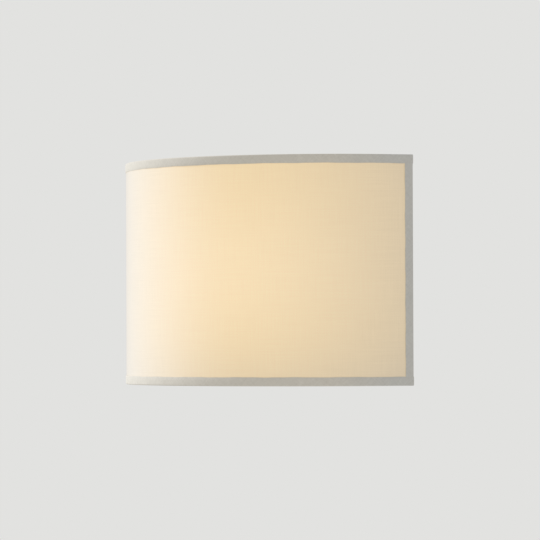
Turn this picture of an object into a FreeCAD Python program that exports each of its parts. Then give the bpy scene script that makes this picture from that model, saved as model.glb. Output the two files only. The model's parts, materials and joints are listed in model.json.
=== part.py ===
import FreeCAD, Part
import math
import os

os.makedirs("parts", exist_ok=True)

Vector = FreeCAD.Vector
UP = Vector(0, 0, 1)
TO_RIGHT = Vector(1, 0, 0)
TO_WALL = Vector(0, 1, 0)
TO_ROOM = Vector(0, -1, 0)

# A half-round fabric shade on a wall. Millimetres. The wall is the plane y = 0, the room is
# towards -Y, +X is to the right, and z = 0 is the mid-height of the shade.

# ---------------------------------------------------------------- shade
shade_width = 300.0          # across the two rear edges, over the fabric
shade_height = 180.0
shade_bulge = 104.0          # rise of the arc above the line through its rear edges
edge_standoff = 3.0          # rear edge of the fabric to the wall
fabric_thickness = 0.4
liner_thickness = 0.5
tape_thickness = 0.4
tape_face_width = 7.0        # tape that shows on the outside, all round
tape_turn_in = 5.0           # tape folded in behind the ring wires
side_tape_turn_in = 4.0      # tape folded in behind the upright edges
tape_fold_radius = 1.3       # rounding of the fold over the ring wires
tape_seat_gap = 0.1          # tape to the fabric and the liner
turn_in_margin = 1.0         # turn-in ends this far before the ring wire's rear bend

# ---------------------------------------------------------------- wire frame of the shade
frame_wire_radius = 1.5
frame_bend_radius = 4.0      # bend of the ring wire at its rear corners
rear_wire_standoff = 4.0     # centre of the rear wires to the wall
wire_seat_gap = 0.05         # wire to the liner and the tape round it

# ---------------------------------------------------------------- fixing strips of the shade
strip_width = 12.0
strip_thickness = 2.0
lug_height = 32.0
lug_reach = 22.0             # front edge of the lug to the strip's rear edge
lug_corner_radius = 5.0
lug_root_radius = 2.0
lug_gap = 0.15               # lug to the ear and to the thumbscrew collar
slot_clearance = 0.2         # lug slot round the thumbscrew shank

# ---------------------------------------------------------------- wall plate
plate_width = 84.0
plate_top = 50.0
plate_bottom = -80.0
plate_thickness = 2.0
plate_corner_radius = 8.0
ear_offset = 4.0             # outer face of an ear beyond the side of the plate
ear_depth = 26.0
ear_height = 28.0
ear_corner_radius = 6.0
fold_inner_radius = 1.0
wall_slot_spacing = 60.0
wall_slot_width = 5.0
wall_slot_length = 14.0
wall_slot_level = 34.0
cable_bore_radius = 4.0
bush_wall = 2.0
bush_flange_width = 2.0      # flange beyond the bush's barrel
bush_flange_thickness = 2.5
bush_edge_radius = 1.0
bush_fit = 0.1
cut_margin = 1.0             # cuts and joined bodies run this far past the face they share

# ---------------------------------------------------------------- thumbscrews and other screws
m4_radius = 2.0
m3_radius = 1.5
thread_fit = 0.05            # radial, screw in its tapped hole
through_fit = 0.2            # radial, screw in a plain hole
screw_tip_recess = 0.3       # screw tips stay this far inside the wall face
pan_head_height = 2.4
pan_head_extra = 1.6         # head radius beyond the shank radius
driver_slot_width = 0.8
driver_slot_depth = 1.0
thumbscrew_depth = 15.0      # thumbscrew axis to the wall
thumbscrew_tip = 4.0         # shank beyond the inner face of the ear
collar_radius = 4.6
collar_length = 1.6
knob_radius = 7.0
knob_length = 6.5
knob_flutes = 18
knob_flute_radius = 0.8
knob_edge_radius = 0.8
shank_tip_radius = 0.5

# ---------------------------------------------------------------- bracket and lampholder
bulb_axis_depth = 46.0       # bulb axis to the wall
bracket_width = 28.0
bracket_thickness = 2.0
bracket_bend_radius = 2.0    # inside of the bend
bracket_corner_radius = 4.0  # top corners of the upright leg
bracket_tip_flat = 8.0       # straight stretch of the rounded front end
bracket_leg_height = 34.0
bracket_front_margin = 13.0  # bracket beyond the bulb axis
holder_seat_level = -77.0    # top of the bracket, under the lampholder
bracket_screw_spacing = 17.0
bracket_screw_drop = 10.0    # bracket screws below the top of the upright leg
holder_radius = 14.0
holder_wall = 1.6
holder_base_height = 25.0
holder_body_height = 27.0
holder_floor = 2.0
holder_seam_groove = 0.4     # depth of the groove where base and body meet
holder_foot_chamfer = 1.5
holder_rim_chamfer = 1.0
holder_seam_height = 1.0
holder_lip_height = 2.0
holder_screw_spacing = 14.0
holder_screw_depth = 8.0     # thread into the insert
tapped_hole_extra = 1.0      # holes in the insert run this far past their screws
insert_fit = 0.2
insert_seat_drop = 2.0       # socket floor below the top of the base
thread_shell_height = 19.0
thread_shell_wall = 0.4
thread_shell_seat = 1.5      # width of the rim that the shell turns in on the socket floor
neck_wall = 2.1
contact_strip_width = 5.0
contact_strip_thickness = 0.5
contact_foot_gap = 0.5       # foot of the spring contact to the thread shell
contact_gap = 0.1            # spring contact to the bulb's tip

# ---------------------------------------------------------------- bulb, a small E14 ball lamp
bulb_length = 76.0
globe_radius = 22.5
globe_wall = 1.2
globe_joint_drop = 4.5       # joint of globe and body below the centre of the globe
bulb_cap_radius = 6.95
bulb_cap_height = 15.0
bulb_cap_fit = 0.3           # bulb cap in the thread shell
bulb_cap_rim = 1.5
bulb_cap_lead = 0.4          # narrowing of the cap's first turn
bulb_cap_lead_height = 1.0
bulb_neck_radius = 8.4
bulb_neck_flare = 0.6
bulb_joint_flare = 0.8
bulb_tip_radius = 2.2
bulb_tip_height = 1.0
bulb_tip_bevel = 0.6
bulb_insulator_height = 2.5
bulb_insulator_margin = 0.6  # insulator beyond the tip contact, and inside the cap
bulb_tip_above_socket = 4.0

# ---------------------------------------------------------------- terminal block and wiring
pole_count = 3
pole_width = 6.6
block_height = 17.0
block_level = 8.0            # centre of the block above mid-height
block_base_depth = 11.0
block_web_depth = 3.5
block_web_height = 10.2
block_edge_radius = 1.5
block_screw_gap = 0.1        # head of a fixing screw to the housings beside it
tower_radius = 3.2
tower_height = 5.0
terminal_screw_spacing = 8.4
terminal_screw_radius = 1.4
terminal_screw_recess = 1.5  # clamp screws stay this far inside their towers
barrel_radius = 2.2
barrel_bore_radius = 1.6
barrel_length = 13.0
barrel_fit = 0.1
wire_radius = 1.1
wire_run_depth = 9.0         # wires and terminal bores to the wall
wire_pair_spacing = 3.0
wire_insert_length = 4.0     # wire inside a terminal barrel
wire_drop = 4.0              # straight drop of the lamp wires below the block
earth_wire_drop = 3.0        # the earth wire's drop below the block, and above its crimp
sleeve_lead = 2.0            # lamp wires run side by side this far above the sleeve
wire_end_gap = 0.5           # wire ends to the bottom of their holes in the insert
sleeve_radius = 3.25
sleeve_bore_radius = 2.75
sleeve_top_level = -18.0
sleeve_bend_radius = 16.0
sleeve_end_gap = 0.5
entry_level = -66.0          # wires go into the lampholder at this height
entry_slot_width = 7.6
entry_slot_corner_radius = 2.0
wire_into_insert = 7.0
wire_hole_fit = 0.2
earth_x = 27.0
earth_level = -24.0
ring_terminal_radius = 4.0
ring_terminal_thickness = 0.8
crimp_radius = 1.7
crimp_fit = 0.05
crimp_length = 6.0
crimp_overlap = 0.4          # the crimped barrel is rolled this deep into its tongue
crimp_stop = 1.0             # wire end to the lower end of the crimp
ring_tongue_length = 3.0
wire_bend_radius = 4.5

# ---------------------------------------------------------------- worked out from the above
half_width = shade_width / 2
half_height = shade_height / 2
fabric_radius = (half_width ** 2 + shade_bulge ** 2) / (2 * shade_bulge)
arc_centre_y = fabric_radius - shade_bulge - edge_standoff
end_angle = math.degrees(math.atan2(half_width, arc_centre_y + edge_standoff))
liner_radius = fabric_radius - fabric_thickness
liner_inner_radius = liner_radius - liner_thickness
ring_wire_radius = liner_inner_radius - wire_seat_gap - frame_wire_radius
turn_in_radius = ring_wire_radius - frame_wire_radius - wire_seat_gap
ring_level = half_height - tape_thickness - wire_seat_gap - frame_wire_radius
tape_face_radius = fabric_radius + tape_seat_gap
tape_outer_radius = tape_face_radius + tape_thickness
tape_edge_inner = liner_inner_radius - tape_seat_gap - tape_thickness
laminate_end_angle = end_angle - math.degrees(tape_thickness / fabric_radius)

bend_centre_y = -rear_wire_standoff - frame_bend_radius
bend_centre_x = math.sqrt((ring_wire_radius - frame_bend_radius) ** 2 - (arc_centre_y - bend_centre_y) ** 2)
ring_bend_angle = math.degrees(math.atan2(bend_centre_x, arc_centre_y - bend_centre_y))
turn_in_end_angle = ring_bend_angle - math.degrees(turn_in_margin / ring_wire_radius)
upright_inset = tape_thickness + side_tape_turn_in + wire_seat_gap + frame_wire_radius
upright_angle = end_angle - math.degrees(upright_inset / ring_wire_radius)

ear_face = plate_width / 2 + ear_offset
strip_inner_face = ear_face + lug_gap
strip_outer_face = strip_inner_face + strip_thickness
strip_rear = -(rear_wire_standoff - frame_wire_radius)
collar_face = strip_outer_face + lug_gap

plate_front = -plate_thickness
bracket_front = plate_front - bracket_thickness
bracket_leg_top = holder_seat_level - bracket_thickness + bracket_leg_height
bracket_screw_level = bracket_leg_top - bracket_screw_drop
holder_base_top = holder_seat_level + holder_base_height
holder_rim = holder_base_top + holder_body_height
socket_floor = holder_base_top - insert_seat_drop
shell_inner_radius = bulb_cap_radius + bulb_cap_fit
shell_outer_radius = shell_inner_radius + thread_shell_wall
neck_radius = shell_outer_radius + neck_wall
neck_top = socket_floor + thread_shell_height + thread_shell_wall
insert_radius = holder_radius - holder_wall - insert_fit

bulb_tip_level = socket_floor + bulb_tip_above_socket
bulb_cap_bottom = bulb_tip_level + bulb_tip_height + bulb_insulator_height
bulb_cap_top = bulb_cap_bottom + bulb_cap_height
globe_centre_level = bulb_tip_level + bulb_length - globe_radius
globe_joint_level = globe_centre_level - globe_joint_drop
bulb_axis = Vector(0, -bulb_axis_depth, 0)

pole_pitch = pole_width + 2 * (m3_radius + pan_head_extra + block_screw_gap)
live_x = -pole_pitch / 2
neutral_x = pole_pitch / 2
pole_positions = [live_x + index * pole_pitch for index in range(pole_count)]
earth_pole_x = pole_positions[-1]
block_bottom = block_level - block_height / 2
barrel_bottom = block_level - barrel_length / 2
wire_y = -wire_run_depth
crimp_bottom = earth_level + ring_terminal_radius + ring_tongue_length
crimp_top = crimp_bottom + crimp_length
crimp_y = plate_front - ring_terminal_thickness - crimp_radius + crimp_overlap


# ---------------------------------------------------------------- helpers
def tangent_path(points, radii, closed=False):
    """Straight runs through the points, with a tangent arc of its own radius at each corner."""
    count = len(points)
    corners = range(count) if closed else range(1, count - 1)
    leave = {}
    edges = []
    arcs = {}
    for index in corners:
        corner = points[index]
        back = (points[index - 1] - corner).normalize()
        ahead = (points[(index + 1) % count] - corner).normalize()
        radius = radii[index]
        if radius <= 0:
            continue
        half_turn = back.getAngle(ahead) / 2
        reach = radius / math.tan(half_turn)
        bisector = (back + ahead).normalize()
        centre = corner + bisector * (radius / math.sin(half_turn))
        first = corner + back * reach
        last = corner + ahead * reach
        arcs[index] = Part.Arc(first, centre - bisector * radius, last).toShape()
        leave[index] = (first, last)
    spans = range(count) if closed else range(count - 1)
    for index in spans:
        following = (index + 1) % count
        start = leave[index][1] if index in leave else points[index]
        stop = leave[following][0] if following in leave else points[following]
        if start.distanceToPoint(stop) > 1e-6:
            edges.append(Part.LineSegment(start, stop).toShape())
        if following in arcs:
            edges.append(arcs[following])
    return Part.Wire(Part.__sortEdges__(edges))


def outline_face(points, radii):
    """A flat face inside a closed outline with rounded corners."""
    return Part.Face(tangent_path(points, radii, closed=True))


def round_bar(points, radii, radius):
    """A round bar or wire that follows a path of straight runs and tangent arcs."""
    path = tangent_path(points, radii)
    section = Part.Wire([Part.makeCircle(radius, points[0], points[1] - points[0])])
    return path.makePipeShell([section], True, False)


def lathe(profile, axis_point):
    """Turn a closed outline of (radius, height) points a full turn about a vertical axis."""
    corners = [axis_point + Vector(radius, 0, height) for radius, height in profile]
    face = outline_face(corners, [0] * len(corners))
    return face.revolve(axis_point, UP, 360)


def round_shade_axis(section, start_angle, stop_angle):
    """Carry a section, drawn on the middle plane, round the vertical axis of the shade's arc."""
    axis_point = Vector(0, arc_centre_y, 0)
    placed = section.copy()
    placed.rotate(axis_point, UP, start_angle)
    return placed.revolve(axis_point, UP, stop_angle - start_angle)


def shade_section(corners, radii=None):
    """A section of the shade wall on the middle plane, from (arc radius, height) corners."""
    points = [Vector(0, arc_centre_y - radius, height) for radius, height in corners]
    return outline_face(points, radii or [0] * len(points))


def curved_wall(inner, outer, bottom, top, start_angle, stop_angle):
    """A piece of the shade's curved wall between two radii, two heights and two angles."""
    corners = [(inner, bottom), (outer, bottom), (outer, top), (inner, top)]
    return round_shade_axis(shade_section(corners), start_angle, stop_angle)


def arc_point(radius, angle, level):
    """The point at an angle from straight ahead on a circle about the shade's axis."""
    turn = math.radians(angle)
    return Vector(radius * math.sin(turn), arc_centre_y - radius * math.cos(turn), level)


def cylinder(radius, start, direction, length):
    """A round solid that starts at a point and runs along a direction."""
    return Part.makeCylinder(radius, length, start, direction)


def mirrored(shape):
    """The left-hand copy of a right-hand piece."""
    return shape.mirror(Vector(0, 0, 0), TO_RIGHT)


def upside_down(shape):
    """The lower copy of an upper piece."""
    return shape.mirror(Vector(0, 0, 0), UP)


def pan_screw(seat, direction, radius, length):
    """A pan-head screw: its head stands on the seat and its shank runs along the direction."""
    head_radius = radius + pan_head_extra
    outline = [Vector(0, 0, pan_head_height), Vector(head_radius, 0, pan_head_height),
               Vector(head_radius, 0, 0), Vector(radius, 0, 0),
               Vector(radius, 0, -length), Vector(0, 0, -length)]
    screw = outline_face(outline, [0, pan_head_height / 2, 0, 0, 0, 0]).revolve(Vector(), UP, 360)
    slot = Part.makeBox(2 * head_radius, driver_slot_width, driver_slot_depth)
    slot.translate(Vector(-head_radius, -driver_slot_width / 2, pan_head_height - driver_slot_depth))
    screw = screw.cut(slot)
    screw.Placement = FreeCAD.Placement(seat, FreeCAD.Rotation(UP, direction * -1))
    return screw


# ---------------------------------------------------------------- shade
def shade_fabric():
    """The woven cover: one thin curved sheet on the liner."""
    top = half_height - tape_thickness
    return curved_wall(liner_radius, fabric_radius, -top, top, -laminate_end_angle, laminate_end_angle)


def shade_liner():
    """The stiff translucent sheet that the fabric is bonded to."""
    top = half_height - tape_thickness
    return curved_wall(liner_inner_radius, liner_radius, -top, top,
                       -laminate_end_angle, laminate_end_angle)


def edge_tape_top():
    """Bias tape folded over the top edge and the ring wire, square-ended at the rear corners."""
    inner = turn_in_radius - tape_thickness
    below = half_height - tape_thickness
    face_bottom = half_height - tape_face_width
    turn_in_bottom = half_height - tape_turn_in
    fold = [(inner, half_height), (inner, turn_in_bottom), (turn_in_radius, turn_in_bottom),
            (turn_in_radius, below), (tape_face_radius, below), (tape_face_radius, face_bottom),
            (tape_outer_radius, face_bottom), (tape_outer_radius, half_height)]
    radii = [tape_fold_radius, 0, 0, tape_fold_radius - tape_thickness, 0, 0, 0, tape_thickness]
    tape = round_shade_axis(shade_section(fold, radii), -turn_in_end_angle, turn_in_end_angle)
    cover = [(tape_edge_inner, half_height), (tape_edge_inner, below), (tape_face_radius, below),
             (tape_face_radius, face_bottom), (tape_outer_radius, face_bottom),
             (tape_outer_radius, half_height)]
    cover_radii = [0, 0, 0, 0, 0, tape_thickness]
    for side in (1, -1):
        angles = sorted((side * turn_in_end_angle, side * end_angle))
        tape = tape.fuse(round_shade_axis(shade_section(cover, cover_radii), angles[0], angles[1]))
        angles = sorted((side * laminate_end_angle, side * end_angle))
        tape = tape.fuse(curved_wall(tape_edge_inner, tape_face_radius, face_bottom, below,
                                     angles[0], angles[1]))
    return tape.removeSplitter()


def edge_tape_right():
    """Tape folded round the upright rear edge, between the top and bottom tapes."""
    top = half_height - tape_face_width
    turn_in_outer = liner_inner_radius - tape_seat_gap
    face_start = end_angle - math.degrees(tape_face_width / fabric_radius)
    turn_in_start = laminate_end_angle - math.degrees(side_tape_turn_in / fabric_radius)
    face = curved_wall(tape_face_radius, tape_outer_radius, -top, top, face_start, end_angle)
    turn_in = curved_wall(tape_edge_inner, turn_in_outer, -top, top, turn_in_start, end_angle)
    fold = curved_wall(turn_in_outer, tape_face_radius, -top, top, laminate_end_angle, end_angle)
    return face.fuse(fold).fuse(turn_in).removeSplitter()


def frame_ring_top():
    """One wire bent into a D: an arc behind the liner and a straight run along the wall."""
    rear_y = -rear_wire_standoff
    bend_centre = Vector(bend_centre_x, bend_centre_y, ring_level)
    on_arc = arc_point(ring_wire_radius, ring_bend_angle, ring_level)
    on_rear = Vector(bend_centre_x, rear_y, ring_level)
    outward = ((on_arc - bend_centre) + (on_rear - bend_centre)).normalize()
    bend_middle = bend_centre + outward * frame_bend_radius
    front = arc_point(ring_wire_radius, 0, ring_level)
    half_path = Part.Wire([
        Part.Arc(front, arc_point(ring_wire_radius, ring_bend_angle / 2, ring_level), on_arc).toShape(),
        Part.Arc(on_arc, bend_middle, on_rear).toShape(),
        Part.LineSegment(on_rear, Vector(0, rear_y, ring_level)).toShape()])
    section = Part.Wire([Part.makeCircle(frame_wire_radius, front, TO_RIGHT)])
    half = half_path.makePipeShell([section], True, False)
    return half.fuse(mirrored(half)).removeSplitter()


def frame_upright_right():
    """The upright wire that joins the two rings near a rear corner."""
    length = 2 * (ring_level - frame_wire_radius)
    return cylinder(frame_wire_radius, arc_point(ring_wire_radius, upright_angle, -length / 2), UP, length)


def fixing_strip_right():
    """Flat strip welded to both rear wires, with a slotted lug that hooks on the thumbscrew."""
    front = strip_rear - strip_width
    lug_front = strip_rear - lug_reach
    half_lug = lug_height / 2
    shoulder = strip_width / 2
    outline = [(strip_rear, -ring_level), (front, -ring_level), (front, -half_lug - shoulder),
               (lug_front, -half_lug), (lug_front, half_lug), (front, half_lug + shoulder),
               (front, ring_level), (strip_rear, ring_level)]
    corners = [Vector(strip_inner_face, y, z) for y, z in outline]
    radii = [0, lug_root_radius] + [lug_corner_radius] * 4 + [lug_root_radius, 0]
    strip = outline_face(corners, radii).extrude(TO_RIGHT * strip_thickness)
    half_slot = m4_radius + slot_clearance
    slot = Part.makeBox(strip_thickness, thumbscrew_depth + strip_rear, 2 * half_slot)
    slot.translate(Vector(strip_inner_face, -thumbscrew_depth, -half_slot))
    strip = strip.cut(slot)
    strip = strip.cut(cylinder(half_slot, Vector(strip_inner_face, -thumbscrew_depth, 0), TO_RIGHT,
                               strip_thickness))
    for level in (-ring_level, ring_level):
        start = Vector(strip_inner_face, -rear_wire_standoff, level)
        strip = strip.cut(cylinder(frame_wire_radius, start, TO_RIGHT, strip_thickness))
    return strip


def thumbscrew_right():
    """Knurled screw that clamps the lug of the shade against the ear of the wall plate."""
    tip = ear_face - plate_thickness - thumbscrew_tip
    knob_start = collar_face + collar_length
    knob_end = knob_start + knob_length
    outline = [(tip, 0), (tip, m4_radius), (collar_face, m4_radius), (collar_face, collar_radius),
               (knob_start, collar_radius), (knob_start, knob_radius), (knob_end, knob_radius),
               (knob_end, 0)]
    corners = [Vector(x, 0, radius) for x, radius in outline]
    radii = [0, shank_tip_radius, 0, 0, 0, knob_edge_radius, knob_edge_radius, 0]
    screw = outline_face(corners, radii).revolve(Vector(), TO_RIGHT, 360)
    flute = cylinder(knob_flute_radius, Vector(knob_start, 0, knob_radius), TO_RIGHT, knob_length)
    flutes = []
    for index in range(knob_flutes):
        copy = flute.copy()
        copy.rotate(Vector(), TO_RIGHT, index * 360 / knob_flutes)
        flutes.append(copy)
    screw = screw.cut(flutes)
    screw.translate(Vector(0, -thumbscrew_depth, 0))
    return screw


# ---------------------------------------------------------------- wall plate
def back_plate():
    """Pressed plate, flat on the wall, with a tapped ear folded forward at each side."""
    half = plate_width / 2
    corners = [Vector(-half, 0, plate_bottom), Vector(half, 0, plate_bottom),
               Vector(half, 0, plate_top), Vector(-half, 0, plate_top)]
    plate = outline_face(corners, [plate_corner_radius] * 4).extrude(TO_ROOM * plate_thickness)
    inner_x = ear_face - plate_thickness
    root_x = half - plate_corner_radius
    fold = [Vector(root_x, 0, -ear_height / 2), Vector(ear_face, 0, -ear_height / 2),
            Vector(ear_face, -ear_depth, -ear_height / 2), Vector(inner_x, -ear_depth, -ear_height / 2),
            Vector(inner_x, plate_front, -ear_height / 2), Vector(root_x, plate_front, -ear_height / 2)]
    radii = [0, fold_inner_radius + plate_thickness, 0, 0, fold_inner_radius, 0]
    ear = outline_face(fold, radii).extrude(UP * ear_height)
    tips = [edge for edge in ear.Edges
            if abs(edge.CenterOfMass.y + ear_depth) < 1e-6 and edge.Length < plate_thickness + 1e-6]
    ear = ear.makeFillet(ear_corner_radius, tips)
    hole = cylinder(m4_radius + thread_fit, Vector(inner_x, -thumbscrew_depth, 0), TO_RIGHT, plate_thickness)
    ear = ear.cut(hole)
    plate = plate.fuse([ear, mirrored(ear)]).removeSplitter()
    cuts = [cylinder(cable_bore_radius + bush_wall + bush_fit, Vector(0, 0, wall_slot_level), TO_ROOM,
                     plate_thickness)]
    half_run = (wall_slot_length - wall_slot_width) / 2
    for centre_x in (-wall_slot_spacing / 2, wall_slot_spacing / 2):
        low = wall_slot_level - wall_slot_width / 2
        high = wall_slot_level + wall_slot_width / 2
        reach = half_run + wall_slot_width / 2
        slot = outline_face([Vector(centre_x - reach, 0, low), Vector(centre_x + reach, 0, low),
                             Vector(centre_x + reach, 0, high), Vector(centre_x - reach, 0, high)],
                            [wall_slot_width / 2 - 1e-4] * 4)
        cuts.append(slot.extrude(TO_ROOM * plate_thickness))
    for x, level, radius in tapped_holes():
        cuts.append(cylinder(radius + thread_fit, Vector(x, 0, level), TO_ROOM, plate_thickness))
    return plate.cut(cuts)


def tapped_holes():
    """Where screws go into the wall plate: x, height and screw radius of each."""
    half = bracket_screw_spacing / 2
    holes = [(-half, bracket_screw_level, m4_radius), (half, bracket_screw_level, m4_radius)]
    holes += [(x, block_level, m3_radius) for x in block_screw_positions()]
    holes.append((earth_x, earth_level, m4_radius))
    return holes


def cable_bush():
    """Rubber bush that lines the cable hole, with its flange on the front of the plate."""
    barrel = cable_bore_radius + bush_wall
    flange = barrel + bush_flange_width
    front = plate_front - bush_flange_thickness
    start = Vector(0, 0, wall_slot_level)
    bush = cylinder(barrel, start, TO_ROOM, -front)
    bush = bush.fuse(cylinder(flange, start + TO_WALL * plate_front, TO_ROOM, bush_flange_thickness))
    rim = [edge for edge in bush.Edges
           if abs(edge.CenterOfMass.y - front) < 1e-6 and edge.Length > 6 * barrel]
    bush = bush.makeFillet(bush_edge_radius, rim)
    return bush.cut(cylinder(cable_bore_radius, start, TO_ROOM, -front)).removeSplitter()


# ---------------------------------------------------------------- bracket and lampholder
def holder_bracket():
    """Strip bent to an L: its upright leg on the plate, its shelf under the lampholder."""
    front = -(bulb_axis_depth + bracket_front_margin)
    bottom = holder_seat_level - bracket_thickness
    half = bracket_width / 2
    profile = [(plate_front, bracket_leg_top), (plate_front, bottom), (front, bottom),
               (front, holder_seat_level), (bracket_front, holder_seat_level),
               (bracket_front, bracket_leg_top)]
    corners = [Vector(-half, y, z) for y, z in profile]
    radii = [0, bracket_bend_radius + bracket_thickness, 0, 0, bracket_bend_radius, 0]
    bracket = outline_face(corners, radii).extrude(TO_RIGHT * bracket_width)
    front_corners = [edge for edge in bracket.Edges
                     if abs(edge.CenterOfMass.y - front) < 1e-6 and edge.Length < bracket_thickness + 1e-6]
    bracket = bracket.makeFillet((bracket_width - bracket_tip_flat) / 2, front_corners)
    top_corners = [edge for edge in bracket.Edges
                   if abs(edge.CenterOfMass.z - bracket_leg_top) < 1e-6
                   and edge.Length < bracket_thickness + 1e-6]
    bracket = bracket.makeFillet(bracket_corner_radius, top_corners)
    cuts = []
    for side in (-1, 1):
        x = side * bracket_screw_spacing / 2
        cuts.append(cylinder(m4_radius + through_fit, Vector(x, plate_front, bracket_screw_level), TO_ROOM,
                             bracket_thickness))
        x = side * holder_screw_spacing / 2
        cuts.append(cylinder(m3_radius + through_fit, Vector(x, -bulb_axis_depth, bottom), UP,
                             bracket_thickness))
    return bracket.cut(cuts)


def bracket_screws():
    """Two screws through the bracket into the wall plate."""
    length = plate_thickness + bracket_thickness - screw_tip_recess
    seats = [Vector(side * bracket_screw_spacing / 2, bracket_front, bracket_screw_level) for side in (-1, 1)]
    return Part.makeCompound([pan_screw(seat, TO_WALL, m4_radius, length) for seat in seats])


def holder_screw_seats():
    """Under the bracket, where the two lampholder screws seat."""
    level = holder_seat_level - bracket_thickness
    return [Vector(side * holder_screw_spacing / 2, -bulb_axis_depth, level) for side in (-1, 1)]


def lampholder_screws():
    """Two screws from below, through the bracket and the base into the insert."""
    length = bracket_thickness + holder_floor + holder_screw_depth
    return Part.makeCompound([pan_screw(seat, UP, m3_radius, length) for seat in holder_screw_seats()])


def lampholder_base():
    """Moulded cup that stands on the bracket, with a slot at the rear for the wires."""
    inner = holder_radius - holder_wall
    floor = holder_seat_level + holder_floor
    profile = [(0, holder_seat_level), (holder_radius - holder_foot_chamfer, holder_seat_level),
               (holder_radius, holder_seat_level + holder_foot_chamfer), (holder_radius, holder_base_top),
               (inner, holder_base_top), (inner, floor), (0, floor)]
    base = lathe(profile, bulb_axis)
    half_slot = entry_slot_width / 2
    slot = outline_face([Vector(-half_slot, -bulb_axis_depth, entry_level - half_slot),
                         Vector(half_slot, -bulb_axis_depth, entry_level - half_slot),
                         Vector(half_slot, -bulb_axis_depth, entry_level + half_slot),
                         Vector(-half_slot, -bulb_axis_depth, entry_level + half_slot)],
                        [entry_slot_corner_radius] * 4)
    base = base.cut(slot.extrude(TO_WALL * (holder_radius + cut_margin)))
    for seat in holder_screw_seats():
        start = Vector(seat.x, seat.y, holder_seat_level)
        base = base.cut(cylinder(m3_radius + through_fit, start, UP, holder_floor))
    return base


def lampholder_insert():
    """Ceramic core: a puck that fills the base and a neck that carries the thread shell."""
    floor = holder_seat_level + holder_floor
    profile = [(0, floor), (insert_radius, floor), (insert_radius, socket_floor),
               (neck_radius, socket_floor), (neck_radius, neck_top), (shell_outer_radius, neck_top),
               (shell_outer_radius, socket_floor), (0, socket_floor)]
    core = lathe(profile, bulb_axis)
    cuts = []
    for x in (-wire_pair_spacing / 2, wire_pair_spacing / 2):
        start = Vector(x, -bulb_axis_depth + insert_radius - wire_into_insert, entry_level)
        cuts.append(cylinder(wire_radius + wire_hole_fit, start, TO_WALL, wire_into_insert + cut_margin))
    for seat in holder_screw_seats():
        cuts.append(cylinder(m3_radius + thread_fit, Vector(seat.x, seat.y, floor), UP,
                             holder_screw_depth + tapped_hole_extra))
    return core.cut(cuts)


def lampholder_thread_shell():
    """Brass shell with an E14 bore that takes the bulb's cap."""
    top = socket_floor + thread_shell_height
    seat_radius = shell_inner_radius - thread_shell_seat
    profile = [(seat_radius, socket_floor), (shell_outer_radius, socket_floor),
               (shell_outer_radius, top), (shell_inner_radius, top),
               (shell_inner_radius, socket_floor + thread_shell_wall),
               (seat_radius, socket_floor + thread_shell_wall)]
    return lathe(profile, bulb_axis)


def lampholder_centre_contact():
    """Sprung brass strip: a foot on the socket floor and a tongue up to the bulb's tip."""
    top = bulb_tip_level - contact_gap
    thick = contact_strip_thickness
    foot = shell_inner_radius - thread_shell_seat - contact_foot_gap
    half = contact_strip_width / 2
    outline = [(-foot, socket_floor), (foot, socket_floor), (foot, socket_floor + thick),
               (foot / 2 + thick, socket_floor + thick), (foot / 2, top), (-foot / 2, top),
               (-foot / 2 - thick, socket_floor + thick), (-foot, socket_floor + thick)]
    inner = [(-foot / 2, socket_floor + thick), (foot / 2, socket_floor + thick),
             (foot / 2 - thick, top - thick), (-foot / 2 + thick, top - thick)]
    shapes = []
    for shape_outline in (outline, inner):
        corners = [Vector(-half, -bulb_axis_depth + y, z) for y, z in shape_outline]
        shapes.append(outline_face(corners, [0] * len(corners)).extrude(TO_RIGHT * contact_strip_width))
    strip = shapes[0].cut(shapes[1])
    trim = cylinder(foot, Vector(0, -bulb_axis_depth, socket_floor), UP, top - socket_floor)
    return strip.common(trim)


def lampholder_body():
    """Upper shell of the lampholder, with a lip turned in over the neck."""
    inner = holder_radius - holder_wall
    lip_inner = neck_radius + insert_fit
    lip_bottom = holder_rim - holder_lip_height
    profile = [(inner, holder_base_top), (holder_radius - holder_seam_groove, holder_base_top),
               (holder_radius - holder_seam_groove, holder_base_top + holder_seam_height),
               (holder_radius, holder_base_top + holder_seam_height),
               (holder_radius, holder_rim - holder_rim_chamfer),
               (holder_radius - holder_rim_chamfer, holder_rim), (lip_inner, holder_rim),
               (lip_inner, lip_bottom),
               (inner, lip_bottom)]
    return lathe(profile, bulb_axis)


# ---------------------------------------------------------------- bulb
def bulb_contact():
    """Tip contact of the bulb, a flat button with a bevelled edge."""
    top = bulb_tip_level + bulb_tip_height
    profile = [(0, bulb_tip_level), (bulb_tip_radius - bulb_tip_bevel, bulb_tip_level),
               (bulb_tip_radius, top), (0, top)]
    return lathe(profile, bulb_axis)


def bulb_insulator():
    """Dark glass cone between the tip contact and the cap."""
    bottom = bulb_tip_level + bulb_tip_height
    profile = [(0, bottom), (bulb_tip_radius + bulb_insulator_margin, bottom),
               (bulb_cap_radius - bulb_insulator_margin, bulb_cap_bottom), (0, bulb_cap_bottom)]
    return lathe(profile, bulb_axis)


def bulb_cap():
    """Plated screw cap, with a rim that flares to the bulb's body."""
    top = bulb_cap_top
    profile = [(0, bulb_cap_bottom), (bulb_cap_radius - bulb_cap_lead, bulb_cap_bottom),
               (bulb_cap_radius, bulb_cap_bottom + bulb_cap_lead_height), (bulb_cap_radius, top),
               (bulb_neck_radius, top + bulb_cap_rim), (0, top + bulb_cap_rim)]
    return lathe(profile, bulb_axis)


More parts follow.
